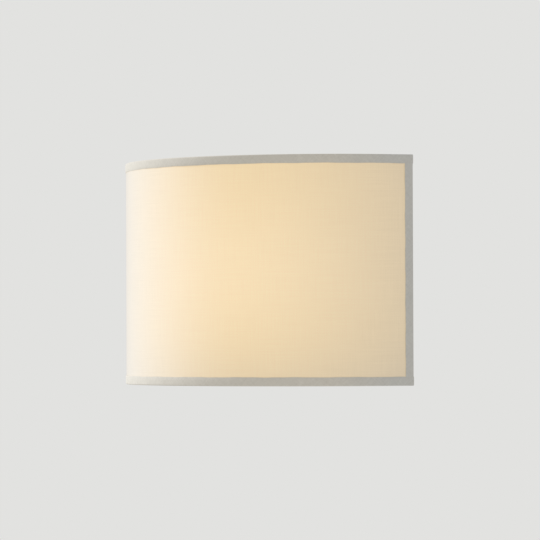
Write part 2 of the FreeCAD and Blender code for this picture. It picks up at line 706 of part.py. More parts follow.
def bulb_body():
    """Moulded body that flares from the cap to the globe. The five poles of its spline are shares of
    the joint's radius and of the rise: steep at the neck, flat at mid-height, steep at the joint."""
    bottom = bulb_cap_top + bulb_cap_rim
    joint_radius = math.sqrt(globe_radius ** 2 - globe_joint_drop ** 2)
    rise = globe_joint_level - bottom
    poles = [(bulb_neck_radius, 0), (bulb_neck_radius + bulb_neck_flare, rise * 0.35),
             (joint_radius * 0.78, rise * 0.45), (joint_radius - bulb_joint_flare, rise * 0.75),
             (joint_radius, rise)]
    points = [bulb_axis + Vector(radius, 0, bottom + height) for radius, height in poles]
    curve = Part.BSplineCurve()
    curve.buildFromPoles(points)
    low = bulb_axis + Vector(0, 0, bottom)
    high = bulb_axis + Vector(0, 0, globe_joint_level)
    outline = Part.Wire([Part.LineSegment(low, points[0]).toShape(), curve.toShape(),
                         Part.LineSegment(points[-1], high).toShape(),
                         Part.LineSegment(high, low).toShape()])
    return Part.Face(outline).revolve(bulb_axis, UP, 360)


def bulb_globe():
    """Opal globe: a thin ball, open below where it meets the body."""
    centre = bulb_axis + UP * globe_centre_level
    ball = Part.makeSphere(globe_radius, centre).cut(Part.makeSphere(globe_radius - globe_wall, centre))
    keep = cylinder(globe_radius + cut_margin, centre - UP * globe_joint_drop, UP, 2 * globe_radius)
    return ball.common(keep)


# ---------------------------------------------------------------- terminal block and wiring
def block_screw_positions():
    """The block is screwed down between its poles."""
    return [x + pole_pitch / 2 for x in pole_positions[:-1]]


def terminal_screw_points():
    """Axes of the clamp screws: two over each pole."""
    half = terminal_screw_spacing / 2
    return [(x, block_level + side * half) for x in pole_positions for side in (-1, 1)]


def terminal_block():
    """Moulded strip connector: one housing a pole, joined by low webs, with two screw towers each."""
    half = pole_width / 2
    base_front = plate_front - block_base_depth
    web = Part.makeBox(pole_positions[-1] - pole_positions[0], block_web_depth, block_web_height)
    web_bottom = block_level - block_web_height / 2
    web.translate(Vector(pole_positions[0], plate_front - block_web_depth, web_bottom))
    solids = [web]
    for x in pole_positions:
        corners = [Vector(x - half, base_front, block_bottom), Vector(x + half, base_front, block_bottom),
                   Vector(x + half, plate_front, block_bottom), Vector(x - half, plate_front, block_bottom)]
        rounding = [block_edge_radius, block_edge_radius, 0, 0]
        housing = outline_face(corners, rounding).extrude(UP * block_height)
        solids.append(housing)
    for x, level in terminal_screw_points():
        start = Vector(x, base_front + cut_margin, level)
        solids.append(cylinder(tower_radius, start, TO_ROOM, tower_height + cut_margin))
    block = solids[0].fuse(solids[1:]).removeSplitter()
    cuts = []
    for x in pole_positions:
        cuts.append(cylinder(barrel_radius + barrel_fit, Vector(x, wire_y, block_bottom), UP, block_height))
    for x, level in terminal_screw_points():
        cuts.append(cylinder(terminal_screw_radius + through_fit, Vector(x, wire_y, level), TO_ROOM,
                             block_base_depth + tower_height))
    for x in block_screw_positions():
        cuts.append(cylinder(m3_radius + through_fit, Vector(x, plate_front, block_level), TO_ROOM,
                             block_web_depth))
    return block.cut(cuts)


def terminal_barrels():
    """Brass barrels inside the block, each open at both ends and under its two clamp screws."""
    barrels = []
    for x in pole_positions:
        start = Vector(x, wire_y, barrel_bottom)
        barrel = cylinder(barrel_radius, start, UP, barrel_length)
        barrel = barrel.cut(cylinder(barrel_bore_radius, start, UP, barrel_length))
        for screw_x, level in terminal_screw_points():
            if screw_x == x:
                hole = cylinder(terminal_screw_radius + thread_fit, Vector(x, wire_y, level), TO_ROOM,
                                barrel_radius + cut_margin)
                barrel = barrel.cut(hole)
        barrels.append(barrel)
    return Part.makeCompound(barrels)


def terminal_screws():
    """Clamp screws, two a pole, down to the wire in the barrel."""
    end_y = wire_y - wire_radius - thread_fit
    top_y = plate_front - block_base_depth - tower_height + terminal_screw_recess
    screws = []
    for x, level in terminal_screw_points():
        screw = cylinder(terminal_screw_radius, Vector(x, end_y, level), TO_ROOM, end_y - top_y)
        slot = Part.makeBox(2 * terminal_screw_radius, driver_slot_depth, driver_slot_width / 2)
        slot.translate(Vector(x - terminal_screw_radius, top_y, level - driver_slot_width / 4))
        screws.append(screw.cut(slot))
    return Part.makeCompound(screws)


def terminal_block_screws():
    """Screws that hold the block on the wall plate."""
    length = block_web_depth + plate_thickness - screw_tip_recess
    seats = [Vector(x, plate_front - block_web_depth, block_level) for x in block_screw_positions()]
    return Part.makeCompound([pan_screw(seat, TO_WALL, m3_radius, length) for seat in seats])


def lamp_wire(pole_x, run_x):
    """Wire from a pole of the block, down inside the sleeve and forward into the insert."""
    top = barrel_bottom + wire_insert_length
    stop_y = -bulb_axis_depth + insert_radius - wire_into_insert + wire_end_gap
    points = [Vector(pole_x, wire_y, top), Vector(pole_x, wire_y, block_bottom - wire_drop),
              Vector(run_x, wire_y, sleeve_top_level + sleeve_lead), Vector(run_x, wire_y, entry_level),
              Vector(run_x, stop_y, entry_level)]
    return round_bar(points, [0, wire_bend_radius, wire_bend_radius, sleeve_bend_radius, 0], wire_radius)


def live_wire():
    """Brown wire, on the left."""
    return lamp_wire(live_x, -wire_pair_spacing / 2)


def neutral_wire():
    """Blue wire, on the right."""
    return lamp_wire(neutral_x, wire_pair_spacing / 2)


def wire_sleeve():
    """Woven glass sleeve over the two lamp wires, down to the lampholder."""
    stop_y = -bulb_axis_depth + holder_radius + sleeve_end_gap
    points = [Vector(0, wire_y, sleeve_top_level), Vector(0, wire_y, entry_level),
              Vector(0, stop_y, entry_level)]
    outer = round_bar(points, [0, sleeve_bend_radius, 0], sleeve_radius)
    return outer.cut(round_bar(points, [0, sleeve_bend_radius, 0], sleeve_bore_radius))


def earth_ring_terminal():
    """Ring tongue under the earth screw, with a crimped barrel for the earth wire."""
    centre = Vector(earth_x, plate_front, earth_level)
    ring = cylinder(ring_terminal_radius, centre, TO_ROOM, ring_terminal_thickness)
    tongue_top = crimp_bottom + cut_margin
    tongue = Part.makeBox(2 * crimp_radius, ring_terminal_thickness, tongue_top - earth_level)
    tongue.translate(Vector(earth_x - crimp_radius, plate_front - ring_terminal_thickness, earth_level))
    barrel_start = Vector(earth_x, crimp_y, crimp_bottom)
    barrel = cylinder(crimp_radius, barrel_start, UP, crimp_length)
    terminal = ring.fuse([tongue, barrel]).removeSplitter()
    terminal = terminal.cut(cylinder(wire_radius + crimp_fit, barrel_start, UP, crimp_length))
    return terminal.cut(cylinder(m4_radius + through_fit, centre, TO_ROOM, ring_terminal_thickness))


def earth_wire():
    """Wire from the earth pole to the ring terminal."""
    points = [Vector(earth_pole_x, wire_y, barrel_bottom + wire_insert_length),
              Vector(earth_pole_x, wire_y, block_bottom - earth_wire_drop),
              Vector(earth_x, crimp_y, crimp_top + earth_wire_drop),
              Vector(earth_x, crimp_y, crimp_bottom + crimp_stop)]
    return round_bar(points, [0, wire_bend_radius, wire_bend_radius, 0], wire_radius)


def earth_screw():
    """Screw that clamps the ring terminal to the wall plate."""
    seat = Vector(earth_x, plate_front - ring_terminal_thickness, earth_level)
    length = plate_thickness + ring_terminal_thickness - screw_tip_recess
    return pan_screw(seat, TO_WALL, m4_radius, length)


# ---------------------------------------------------------------- the pieces
right_tape = edge_tape_right()
top_tape = edge_tape_top()
top_ring = frame_ring_top()
right_upright = frame_upright_right()
right_strip = fixing_strip_right()
right_thumbscrew = thumbscrew_right()

pieces = {
    "shade_fabric": shade_fabric(),
    "shade_liner": shade_liner(),
    "edge_tape_top": top_tape,
    "edge_tape_bottom": upside_down(top_tape),
    "edge_tape_right": right_tape,
    "edge_tape_left": mirrored(right_tape),
    "frame_ring_top": top_ring,
    "frame_ring_bottom": upside_down(top_ring),
    "frame_upright_right": right_upright,
    "frame_upright_left": mirrored(right_upright),
    "fixing_strip_right": right_strip,
    "fixing_strip_left": mirrored(right_strip),
    "thumbscrew_right": right_thumbscrew,
    "thumbscrew_left": mirrored(right_thumbscrew),
    "back_plate": back_plate(),
    "cable_bush": cable_bush(),
    "holder_bracket": holder_bracket(),
    "bracket_screws": bracket_screws(),
    "lampholder_base": lampholder_base(),
    "lampholder_insert": lampholder_insert(),
    "lampholder_thread_shell": lampholder_thread_shell(),
    "lampholder_centre_contact": lampholder_centre_contact(),
    "lampholder_body": lampholder_body(),
    "lampholder_screws": lampholder_screws(),
    "bulb_contact": bulb_contact(),
    "bulb_insulator": bulb_insulator(),
    "bulb_cap": bulb_cap(),
    "bulb_body": bulb_body(),
    "bulb_globe": bulb_globe(),
    "terminal_block": terminal_block(),
    "terminal_barrels": terminal_barrels(),
    "terminal_screws": terminal_screws(),
    "terminal_block_screws": terminal_block_screws(),
    "live_wire": live_wire(),
    "neutral_wire": neutral_wire(),
    "wire_sleeve": wire_sleeve(),
    "earth_wire": earth_wire(),
    "earth_ring_terminal": earth_ring_terminal(),
    "earth_screw": earth_screw(),
}

for name, shape in pieces.items():
    shape.exportStep("parts/" + name + ".step")
    box = shape.BoundBox
    print("%-26s solids %d valid %s volume %9.1f  x %7.1f %7.1f  y %7.1f %7.1f  z %7.1f %7.1f" % (
        name, len(shape.Solids), shape.isValid(), shape.Volume,
        box.XMin, box.XMax, box.YMin, box.YMax, box.ZMin, box.ZMax))
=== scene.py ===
"""A half-round fabric shade wall light, lit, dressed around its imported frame.

Metres. The wall is the plane y = 0, the room is towards -Y, +X is to the right along the wall and
z = 0 is the mid-height of the shade.
"""
import json
import math

import bpy
import numpy as np
from mathutils import Matrix, Vector


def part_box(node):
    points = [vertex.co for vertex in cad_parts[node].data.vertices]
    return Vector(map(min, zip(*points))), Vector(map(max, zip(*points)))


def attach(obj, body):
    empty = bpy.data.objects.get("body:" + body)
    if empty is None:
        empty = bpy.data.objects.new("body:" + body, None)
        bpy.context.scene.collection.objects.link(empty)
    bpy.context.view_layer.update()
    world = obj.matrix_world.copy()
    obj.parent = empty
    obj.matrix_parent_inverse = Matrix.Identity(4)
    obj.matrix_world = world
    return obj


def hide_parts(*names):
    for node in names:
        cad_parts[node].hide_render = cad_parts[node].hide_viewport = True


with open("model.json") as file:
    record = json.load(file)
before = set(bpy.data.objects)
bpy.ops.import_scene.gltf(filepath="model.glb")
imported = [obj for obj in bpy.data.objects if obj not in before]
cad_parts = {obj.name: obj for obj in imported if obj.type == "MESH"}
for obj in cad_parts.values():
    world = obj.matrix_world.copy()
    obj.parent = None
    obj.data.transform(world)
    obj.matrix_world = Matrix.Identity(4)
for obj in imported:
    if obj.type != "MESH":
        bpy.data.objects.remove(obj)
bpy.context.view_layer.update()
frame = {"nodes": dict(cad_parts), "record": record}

bl_info = {
    "name": "Half-round shade wall light",
    "version": (1, 0, 0),
    "blender": (4, 5, 0),
    "location": "3D View > Sidebar > Wall light",
    "description": "Dresses a fabric shade wall light around its frame",
    "category": "Object",
}

MM = 0.001
TAU = 2 * math.pi


def node_box(name):
    """Lowest and highest corner of a node, as two numpy points."""
    low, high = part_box(name)
    return np.array(low), np.array(high)


RING_LOW, RING_HIGH = node_box("frame_ring_top")
GLOBE_LOW, GLOBE_HIGH = node_box("bulb_globe")
BODY_LOW, BODY_HIGH = node_box("bulb_body")
CAP_LOW, CAP_HIGH = node_box("bulb_cap")
SHADE_TOP = node_box("edge_tape_top")[1][2]
WIRE_RADIUS = (RING_HIGH[2] - RING_LOW[2]) / 2

# Gaps and small sizes of the shade, as the solids have them.
SEAT_GAP = 0.1 * MM          # cloth to the tape in front of it
LAMINATE = 0.95 * MM         # outside of the cloth to the ring wires behind the liner
EDGE_SEAT = 1.0 * MM         # outside of the cloth to the upright tapes' turn-in
HAIR = 0.05 * MM             # keeps a turn-in off the wire or liner that it lies on
TAPE_FOLD = 1.1 * MM         # radius of the ring tapes' two folds
EDGE_TURN_IN = 4.4 * MM      # width of the upright tapes' turn-in
RING_BEND = 4 * MM           # radius of a ring wire's rear bends, on its axis
RING_LEAVES = 2.2            # degrees before the turn-in at which a ring wire leaves the cloth

# Small sizes that only the scene's pieces have.
CLOTH_LIFT = 0.02 * MM       # outer face of the cloth, out from the solid's
CLOTH_RIPPLE = 0.03 * MM     # swing of its ripple either way
TAPE_LIP = 0.4 * MM          # height over which a ring tape's raw edge is rounded
TAPE_OVERLAP = 0.6 * MM      # the upright tapes run this far into the ring tapes
CLOSER_GAP = 0.02 * MM       # end blocks of a ring tape to its fold
WELD_LENGTH = 2.2 * MM       # stretch of an upright that swells at its weld
WELD_SLOPE = 0.12
JOINT_BEVEL = 0.25 * MM      # globe and body of the bulb, at their joint

# The glow painted on the cloth, emission that stands in for lamp light through it: degrees round to the
# right from straight ahead and heights from mid-height.
GLOW_MIDDLE, GLOW_SPREAD = 9.0, 82.0
GLOW_LEVEL, GLOW_RISE = 18 * MM, 145 * MM
GLOW_LEFT_START, GLOW_LEFT_END, GLOW_LEFT_SHARE = -44.0, 22.0, 0.45
# A whiter painted hot spot over the bulb, on top of the painted glow.
HOT_SPOT_MIDDLE, HOT_SPOT_SPREAD, HOT_SPOT_RISE = 20.0, 32.0, 55 * MM
HOT_SPOT_COLOUR = (0.12, 0.117, 0.11)

# Each wire's piece, node, slot, radii of its bends and corners of its route, in millimetres, as the
# solids have them.
LAMP_BENDS = (4.5, 4.5, 16)
EARTH_BENDS = (4.5, 4.5)
WIRES = (
    ("brown_wire", "live_wire", "brown_silicone", LAMP_BENDS,
     ((-6.5, -9, 5.5), (-6.5, -9, -4.5), (-1.5, -9, -16), (-1.5, -9, -66), (-1.5, -40.3, -66))),
    ("blue_wire", "neutral_wire", "blue_silicone", LAMP_BENDS,
     ((6.5, -9, 5.5), (6.5, -9, -4.5), (1.5, -9, -16), (1.5, -9, -66), (1.5, -40.3, -66))),
    ("earth_lead", "earth_wire", "green_yellow_silicone", EARTH_BENDS,
     ((19.5, -9, 5.5), (19.5, -9, -3.5), (27, -4.1, -8), (27, -4.1, -16))),
)
SLEEVE_ROUTE = ((0, -9, -18), (0, -9, -66), (0, -31.5, -66))
SLEEVE_BENDS = (16,)
CORE_RADIUS = 1.1 * MM       # a wire over its insulation
SLEEVE_RADIUS = 3.25 * MM
SLEEVE_BORE = 2.75 * MM


# ---------------------------------------------------------------- sizes and colours
class ShadeSizes(bpy.types.PropertyGroup):
    """Sizes of the shade, as the frame has them."""

    width: bpy.props.FloatProperty(
        name="Width", description="Across the two rear edges of the cloth",
        default=300 * MM, unit="LENGTH")
    bulge: bpy.props.FloatProperty(
        name="Bulge", description="Rise of the arc above the line through its rear edges",
        default=104 * MM, unit="LENGTH")
    standoff: bpy.props.FloatProperty(
        name="Standoff", description="Rear edges of the cloth to the wall",
        default=3 * MM, unit="LENGTH")
    cloth_thickness: bpy.props.FloatProperty(
        name="Cloth thickness", description="Thickness of the woven cover",
        default=0.4 * MM, unit="LENGTH", precision=5)
    tape_thickness: bpy.props.FloatProperty(
        name="Tape thickness", description="Thickness of the edge tape",
        default=0.4 * MM, unit="LENGTH", precision=5)
    tape_face: bpy.props.FloatProperty(
        name="Tape face", description="Width of tape that shows on the outside",
        default=7 * MM, unit="LENGTH")
    tape_turn_in: bpy.props.FloatProperty(
        name="Tape turn-in", description="Width of tape folded in behind the ring wires",
        default=5 * MM, unit="LENGTH")
    thread_pitch: bpy.props.FloatProperty(
        name="Weave pitch", description="Distance from one thread of the cloth to the next",
        default=0.62 * MM, unit="LENGTH", precision=5)


class LampColours(bpy.types.PropertyGroup):
    """Colours of the visible finishes, as sRGB."""

    cloth: bpy.props.StringProperty(
        name="Cloth", description="Off-white of the woven cover, unlit", default="#D2CFC9")
    # Colour of the painted glow: emission on the cover that stands in for lamp light through it.
    painted_cloth_glow: bpy.props.StringProperty(
        name="Cloth glow", description="Lamp light that comes through the cover", default="#FFD068")
    tape: bpy.props.StringProperty(
        name="Edge tape", description="Cotton tape round the edges", default="#D7D5CE")
    enamel: bpy.props.StringProperty(
        name="Powder coat", description="White coat of the frame, plate and bracket",
        default="#E6E6E3")
    lamp_light: bpy.props.StringProperty(
        name="Lamp light", description="Warm white of the lit globe", default="#FFE2B6")


class StageSettings(bpy.types.PropertyGroup):
    """Floor, studio light, the brightness of the lit globe and the strengths of the glow painted on the
    cloth and tape.
    """

    floor_level: bpy.props.FloatProperty(
        name="Floor level", description="Height of the floor", default=-0.34, unit="LENGTH")
    ambient: bpy.props.FloatProperty(
        name="Ambient", description="Strength of the even light from all round", default=0.58, min=0)
    key: bpy.props.FloatProperty(
        name="Key light", description="Strength of the soft light from the left", default=2.6, min=0)
    background: bpy.props.StringProperty(
        name="Background", description="Pale colour behind the object", default="#E2E2E0")
    # Strength of the glow painted on the cloth.
    glow: bpy.props.FloatProperty(
        name="Shade glow", description="Strength of the lamp light through the cloth",
        default=0.50, min=0)
    # Strength of the glow painted on the edge tape.
    tape_glow: bpy.props.FloatProperty(
        name="Tape glow", description="Strength of the lamp light through the edge tape",
        default=0.05, min=0)
    globe_glow: bpy.props.FloatProperty(
        name="Globe glow", description="Brightness of the lit globe", default=4.2, min=0)


def sizes():
    """The shade's sizes in the scene."""
    return bpy.context.scene.wall_light_sizes


def colours():
    """The lamp's colours in the scene."""
    return bpy.context.scene.wall_light_colours


def stage():
    """The stage's settings in the scene."""
    return bpy.context.scene.wall_light_stage


def linear(code):
    """An sRGB hex colour as linear RGBA: each channel c is c / 12.92 below 0.04045, else
    ((c + 0.055) / 1.055) to the power 2.4."""
    channels = np.array([int(code[i:i + 2], 16) / 255 for i in (1, 3, 5)])
    low = channels / 12.92
    high = ((channels + 0.055) / 1.055) ** 2.4
    return (*np.where(channels <= 0.04045, low, high).tolist(), 1.0)


def tones(code, *factors):
    """A hex colour as linear RGBA, darker or lighter by each factor and never above 1."""
    return [(*(min(1.0, channel * factor) for channel in linear(code)[:3]), 1.0) for factor in factors]


# ---------------------------------------------------------------- the shade's arc
def arc_radius():
    """Radius of a circle through both rear edges and the front: (half width squared plus the bulge
    squared) over twice the bulge."""
    half = sizes().width / 2
    return (half ** 2 + sizes().bulge ** 2) / (2 * sizes().bulge)


def arc_centre_y():
    """The arc's axis stands one radius behind the front of the cloth."""
    return arc_radius() - sizes().bulge - sizes().standoff


def arc_end():
    """Angle from straight ahead to a rear edge, in radians."""
    return math.atan2(sizes().width / 2, arc_centre_y() + sizes().standoff)


def on_arc(radius, angle, height):
    """Points at a radius, an angle from straight ahead and a height: x is radius times sine, y is
    the axis minus radius times cosine."""
    radius, angle, height = np.broadcast_arrays(radius, angle, height)
    return np.stack([radius * np.sin(angle), arc_centre_y() - radius * np.cos(angle), height], -1)


# ---------------------------------------------------------------- parts of meshes
# A part is its points, a list of face arrays and a list of their texture corners.
def grid(points, u, v, wrap_u=False, wrap_v=False):
    """Quads between neighbours on a grid of points. u and v are the texture coordinates of its rows
    and columns, with one more value where the grid closes on itself."""
    rows, columns = points.shape[:2]
    i = np.arange(rows if wrap_u else rows - 1)[:, None]
    j = np.arange(columns if wrap_v else columns - 1)[None, :]
    i, j = np.broadcast_arrays(i, j)
    corner_i = np.stack([i, i + 1, i + 1, i], -1)
    corner_j = np.stack([j, j, j + 1, j + 1], -1)
    faces = (corner_i % rows) * columns + corner_j % columns
    uv = np.stack([np.asarray(u)[corner_i], np.asarray(v)[corner_j]], -1)
    return points.reshape(-1, 3), [faces.reshape(-1, 4)], [uv.reshape(-1, 4, 2)]


def capped(part, rows, columns, ends):
    """Closes the open first and last rows of a wrapped grid with a point each and a fan of
    triangles."""
    points, faces, uv = part
    ring = np.arange(columns)
    following = (ring + 1) % columns
    first = len(points)
    last = first + 1
    start = np.stack([np.full(columns, first), ring, following], -1)
    row = (rows - 1) * columns
    stop = np.stack([np.full(columns, last), row + following, row + ring], -1)
    flat = np.zeros((columns, 3, 2))
    return np.concatenate([points, np.asarray(ends)]), [*faces, start, stop], [*uv, flat, flat]


def thick_sheet(outer, inner, u, v):
    """A closed thin sheet from an outer grid and an inner grid of the same shape: the two faces, the
    rims along both long sides and a strip of quads across each end."""
    rows, columns = outer.shape[:2]
    both = np.concatenate([outer, inner[:, ::-1]], axis=1)
    v = np.asarray(v)
    round_v = np.concatenate([v, v[::-1], v[:1]])
    points, faces, uv = grid(both, u, round_v, wrap_v=True)
    j = np.arange(columns - 1)
    across = np.stack([j, j + 1, 2 * columns - 2 - j, 2 * columns - 1 - j], -1)
    ends = [across, (rows - 1) * 2 * columns + across[:, ::-1]]
    end_uv = [np.stack([np.full(across.shape, edge), round_v[across]], -1) for edge in (u[0], u[-1])]
    return points, [*faces, *ends], [*uv, *end_uv]


def enclosed_volume(points, faces):
    """Signed volume: a sixth of the sum of the triple products of the faces' triangles."""
    total = 0.0
    for block in faces:
        for k in range(1, block.shape[1] - 1):
            a, b, c = points[block[:, 0]], points[block[:, k]], points[block[:, k + 1]]
            total += np.einsum("ij,ij->i", a, np.cross(b, c)).sum() / 6
    return total


def running_length(line):
    """Distance along a line of points, from 0 at its first."""
    steps = np.linalg.norm(np.diff(line, axis=0), axis=1)
    return np.concatenate([[0], np.cumsum(steps)])


def rings_along(tangent, reference, sides):
    """Unit circles square to a path, from its tangents. A circle's first axis is the cross product
    of the tangent with a fixed reference, its second that axis crossed with the tangent, and its
    points are the first times the cosine of the turn plus the second times the sine."""
    tangent = tangent / np.linalg.norm(tangent, axis=1)[:, None]
    side = np.cross(tangent, reference)
    side /= np.linalg.norm(side, axis=1)[:, None]
    up = np.cross(side, tangent)
    turn = np.arange(sides) * TAU / sides
    return np.cos(turn)[None, :, None] * side[:, None] + np.sin(turn)[None, :, None] * up[:, None]


def tube(path, radius, reference, sides):
    """A round bar along an open path: each point of the path plus the radius there times its unit
    circle. The radius is one value or one for each point."""
    radius = np.broadcast_to(radius, len(path))[:, None, None]
    points = path[:, None] + radius * rings_along(np.gradient(path, axis=0), reference, sides)
    v = np.linspace(0, TAU * float(radius.max()), sides + 1)
    part = grid(points, running_length(path), v, wrap_v=True)
    return capped(part, len(path), sides, [path[0], path[-1]])


def closed_tube(path, radius, reference, sides=20):
    """A round bar along a path that closes on itself. Its tangent runs from the point before to the
    point after."""
    tangent = np.roll(path, -1, axis=0) - np.roll(path, 1, axis=0)
    points = path[:, None] + radius * rings_along(tangent, reference, sides)
    u = running_length(np.concatenate([path, path[:1]]))
    v = np.linspace(0, TAU * radius, sides + 1)
    return grid(points, u, v, wrap_u=True, wrap_v=True)


def hollow_tube(path, outer_radius, inner_radius, sides=28):
    """A tube with a bore: its outer and inner circles joined at both ends, so it is one closed skin."""
    circles = rings_along(np.gradient(path, axis=0), (1, 0, 0), sides)
    outer = path[:, None] + outer_radius * circles
    inner = path[:, None] + inner_radius * circles
    u = running_length(path)
    u = np.concatenate([u, u[::-1], u[:1]])
    v = np.linspace(0, TAU * outer_radius, sides + 1)
    return grid(np.concatenate([outer, inner[::-1]]), u, v, wrap_u=True, wrap_v=True)


def lathe(profile, axis, sides=96):
    """A solid of revolution about an upright axis: x and y are the axis plus the radius times the
    cosine and the sine of the turn. The first and last (radius, height) points lie on the axis."""
    radius, height = profile[1:-1, 0], profile[1:-1, 1]
    turn = np.arange(sides) * TAU / sides
    points = np.stack([axis[0] + radius[:, None] * np.cos(turn), axis[1] + radius[:, None] * np.sin(turn),
                       np.broadcast_to(height[:, None], (len(height), sides))], -1)
    v = np.linspace(0, TAU * float(radius.max()), sides + 1)
    part = grid(points, running_length(profile[1:-1]), v, wrap_v=True)
    return capped(part, len(radius), sides, [[*axis, profile[0, 1]], [*axis, profile[-1, 1]]])


def bend(corner, start_angle, stop_angle, radius, count=7):
    """Points on a round corner: centre plus radius times cosine and sine."""
    turn = np.radians(np.linspace(start_angle, stop_angle, count))
    return np.stack([corner[0] + radius * np.cos(turn), corner[1] + radius * np.sin(turn)], -1)


def rounded(corners, radii, step=1.0 * MM):
    """Straight runs joined by tangent arcs, in metres from millimetre corners. An arc starts where
    its radius over the tangent of half the turn puts it, and each of its points is the centre plus
    the radius times a turned direction."""
    corners = [np.array(corner) * MM for corner in corners]
    points = [corners[0]]
    for index, radius in enumerate(np.array(radii) * MM, start=1):
        corner = corners[index]
        back = corners[index - 1] - corner
        ahead = corners[index + 1] - corner
        back /= np.linalg.norm(back)
        ahead /= np.linalg.norm(ahead)
        half = math.acos(np.clip(back @ ahead, -1, 1)) / 2
        first = corner + back * radius / math.tan(half)
        last = corner + ahead * radius / math.tan(half)
        middle = back + ahead
        centre = corner + middle / np.linalg.norm(middle) * radius / math.sin(half)
        share = np.linspace(0, 1, 12)[:, None]
        sweep = math.pi - 2 * half
        start, stop = (first - centre) / radius, (last - centre) / radius
        arc = (np.sin((1 - share) * sweep) * start + np.sin(share * sweep) * stop) / math.sin(sweep)
        count = max(2, int(np.linalg.norm(first - points[-1]) / step))
        points += list(points[-1] + (first - points[-1]) * np.linspace(0, 1, count)[1:-1, None])
        points += list(centre + arc * radius)
    count = max(3, int(np.linalg.norm(corners[-1] - points[-1]) / step))
    points += list(points[-1] + (corners[-1] - points[-1]) * np.linspace(0, 1, count)[1:, None])
    return np.array(points)


# ---------------------------------------------------------------- objects
def add_object(name, data):
    """A new object in the scene."""
    made = bpy.data.objects.new(name, data)
    bpy.context.scene.collection.objects.link(made)
    return made


def make_piece(name, node, body, slot, parts, sharp=35):
    """One object from closed parts, in place of a node of the frame: outward faces, a UV map in
    metres, smooth shading and the finish of its slot."""
    all_points, all_faces, all_uv = [], [], []
    offset = 0
    for points, faces, uv in parts:
        if enclosed_volume(points, faces) < 0:
            faces = [block[:, ::-1] for block in faces]
            uv = [block[:, ::-1] for block in uv]
        for block, corners in zip(faces, uv):
            all_faces += (block + offset).tolist()
            all_uv.append(corners.reshape(-1, 2))
        all_points.append(points)
        offset += len(points)
    mesh = bpy.data.meshes.new(name)
    mesh.from_pydata(np.concatenate(all_points).tolist(), [], all_faces)
    layer = mesh.uv_layers.new(name="UVMap")
    layer.data.foreach_set("uv", np.concatenate(all_uv).ravel())
    mesh.materials.append(finish_for(slot))
    mesh.polygons.foreach_set("use_smooth", np.ones(len(mesh.polygons), dtype=bool))
    mesh.set_sharp_from_angle(angle=math.radians(sharp))
    mesh.update()
    piece = add_object(name, mesh)
    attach(piece, body)
    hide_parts(node)
    return piece


# ---------------------------------------------------------------- materials
def add_node(tree, kind, *values, **named):
    """Adds a shader node and gives its outputs. Names in lower case are the node's settings. Values
    go to its open inputs in order, and capitalised names to the open input of that name, with _ for a
    space. An output is linked, and anything else is set."""
    node = tree.nodes.new("ShaderNode" + kind)
    for key in [key for key in named if key[0].islower()]:
        setattr(node, key, named.pop(key))
    sockets = [socket for socket in node.inputs if socket.enabled]
    by_name = {socket.name.replace(" ", "_"): socket for socket in sockets}
    pairs = [*zip(sockets, values), *((by_name[key], value) for key, value in named.items())]
    for socket, value in pairs:
        if isinstance(value, bpy.types.NodeSocket):
            tree.links.new(value, socket)
        else:
            socket.default_value = value
    return node.outputs


def new_material(name):
    """A node material with an empty tree, and the tree."""
    material = bpy.data.materials.new(name)
    material.use_nodes = True
    material.node_tree.nodes.clear()
    return material, material.node_tree


def threads(tree, source, pitch, stretch, along_u, seed):
    """Uneven threads: noise drawn out along the threads, one cell a thread wide and many long.
    along_u says whether the threads run along u or along v."""
    scale = (1 / stretch, 1 / pitch, 1) if along_u else (1 / pitch, 1 / stretch, 1)
    place = add_node(tree, "Mapping", source, Location=(seed, seed, 0), Scale=scale)[0]
    noise = add_node(tree, "TexNoise", place, noise_dimensions="2D", Scale=1.0, Detail=2.0, Roughness=0.6)
    return noise["Fac"]


def weave_height(tree, source, pitch):
    """Plain weave: the product of a sine across the warp and a sine across the weft, so that each
    thread goes over one and under the next. pitch is the distance between threads in metres."""
    split = add_node(tree, "SeparateXYZ", source)
    waves = []
    for across in (split[0], split[1]):
        turn = add_node(tree, "Math", across, math.pi / pitch, operation="MULTIPLY")[0]
        waves.append(add_node(tree, "Math", turn, operation="SINE")[0])
    product = add_node(tree, "Math", *waves, operation="MULTIPLY")[0]
    return add_node(tree, "Math", product, 0.5, 0.5, operation="MULTIPLY_ADD")[0]


def falloff(tree, value, centre, spread, power=2):
    """A bell curve: e to the power of minus |value - centre| / spread, itself raised to a power."""
    offset = add_node(tree, "Math", value, centre, operation="SUBTRACT")[0]
    away = add_node(tree, "Math", offset, operation="ABSOLUTE")[0]
    share = add_node(tree, "Math", away, 1 / spread, operation="MULTIPLY")[0]
    raised = add_node(tree, "Math", share, power, operation="POWER")[0]
    below = add_node(tree, "Math", raised, -1.0, operation="MULTIPLY")[0]
    return add_node(tree, "Math", below, operation="EXPONENT")[0]


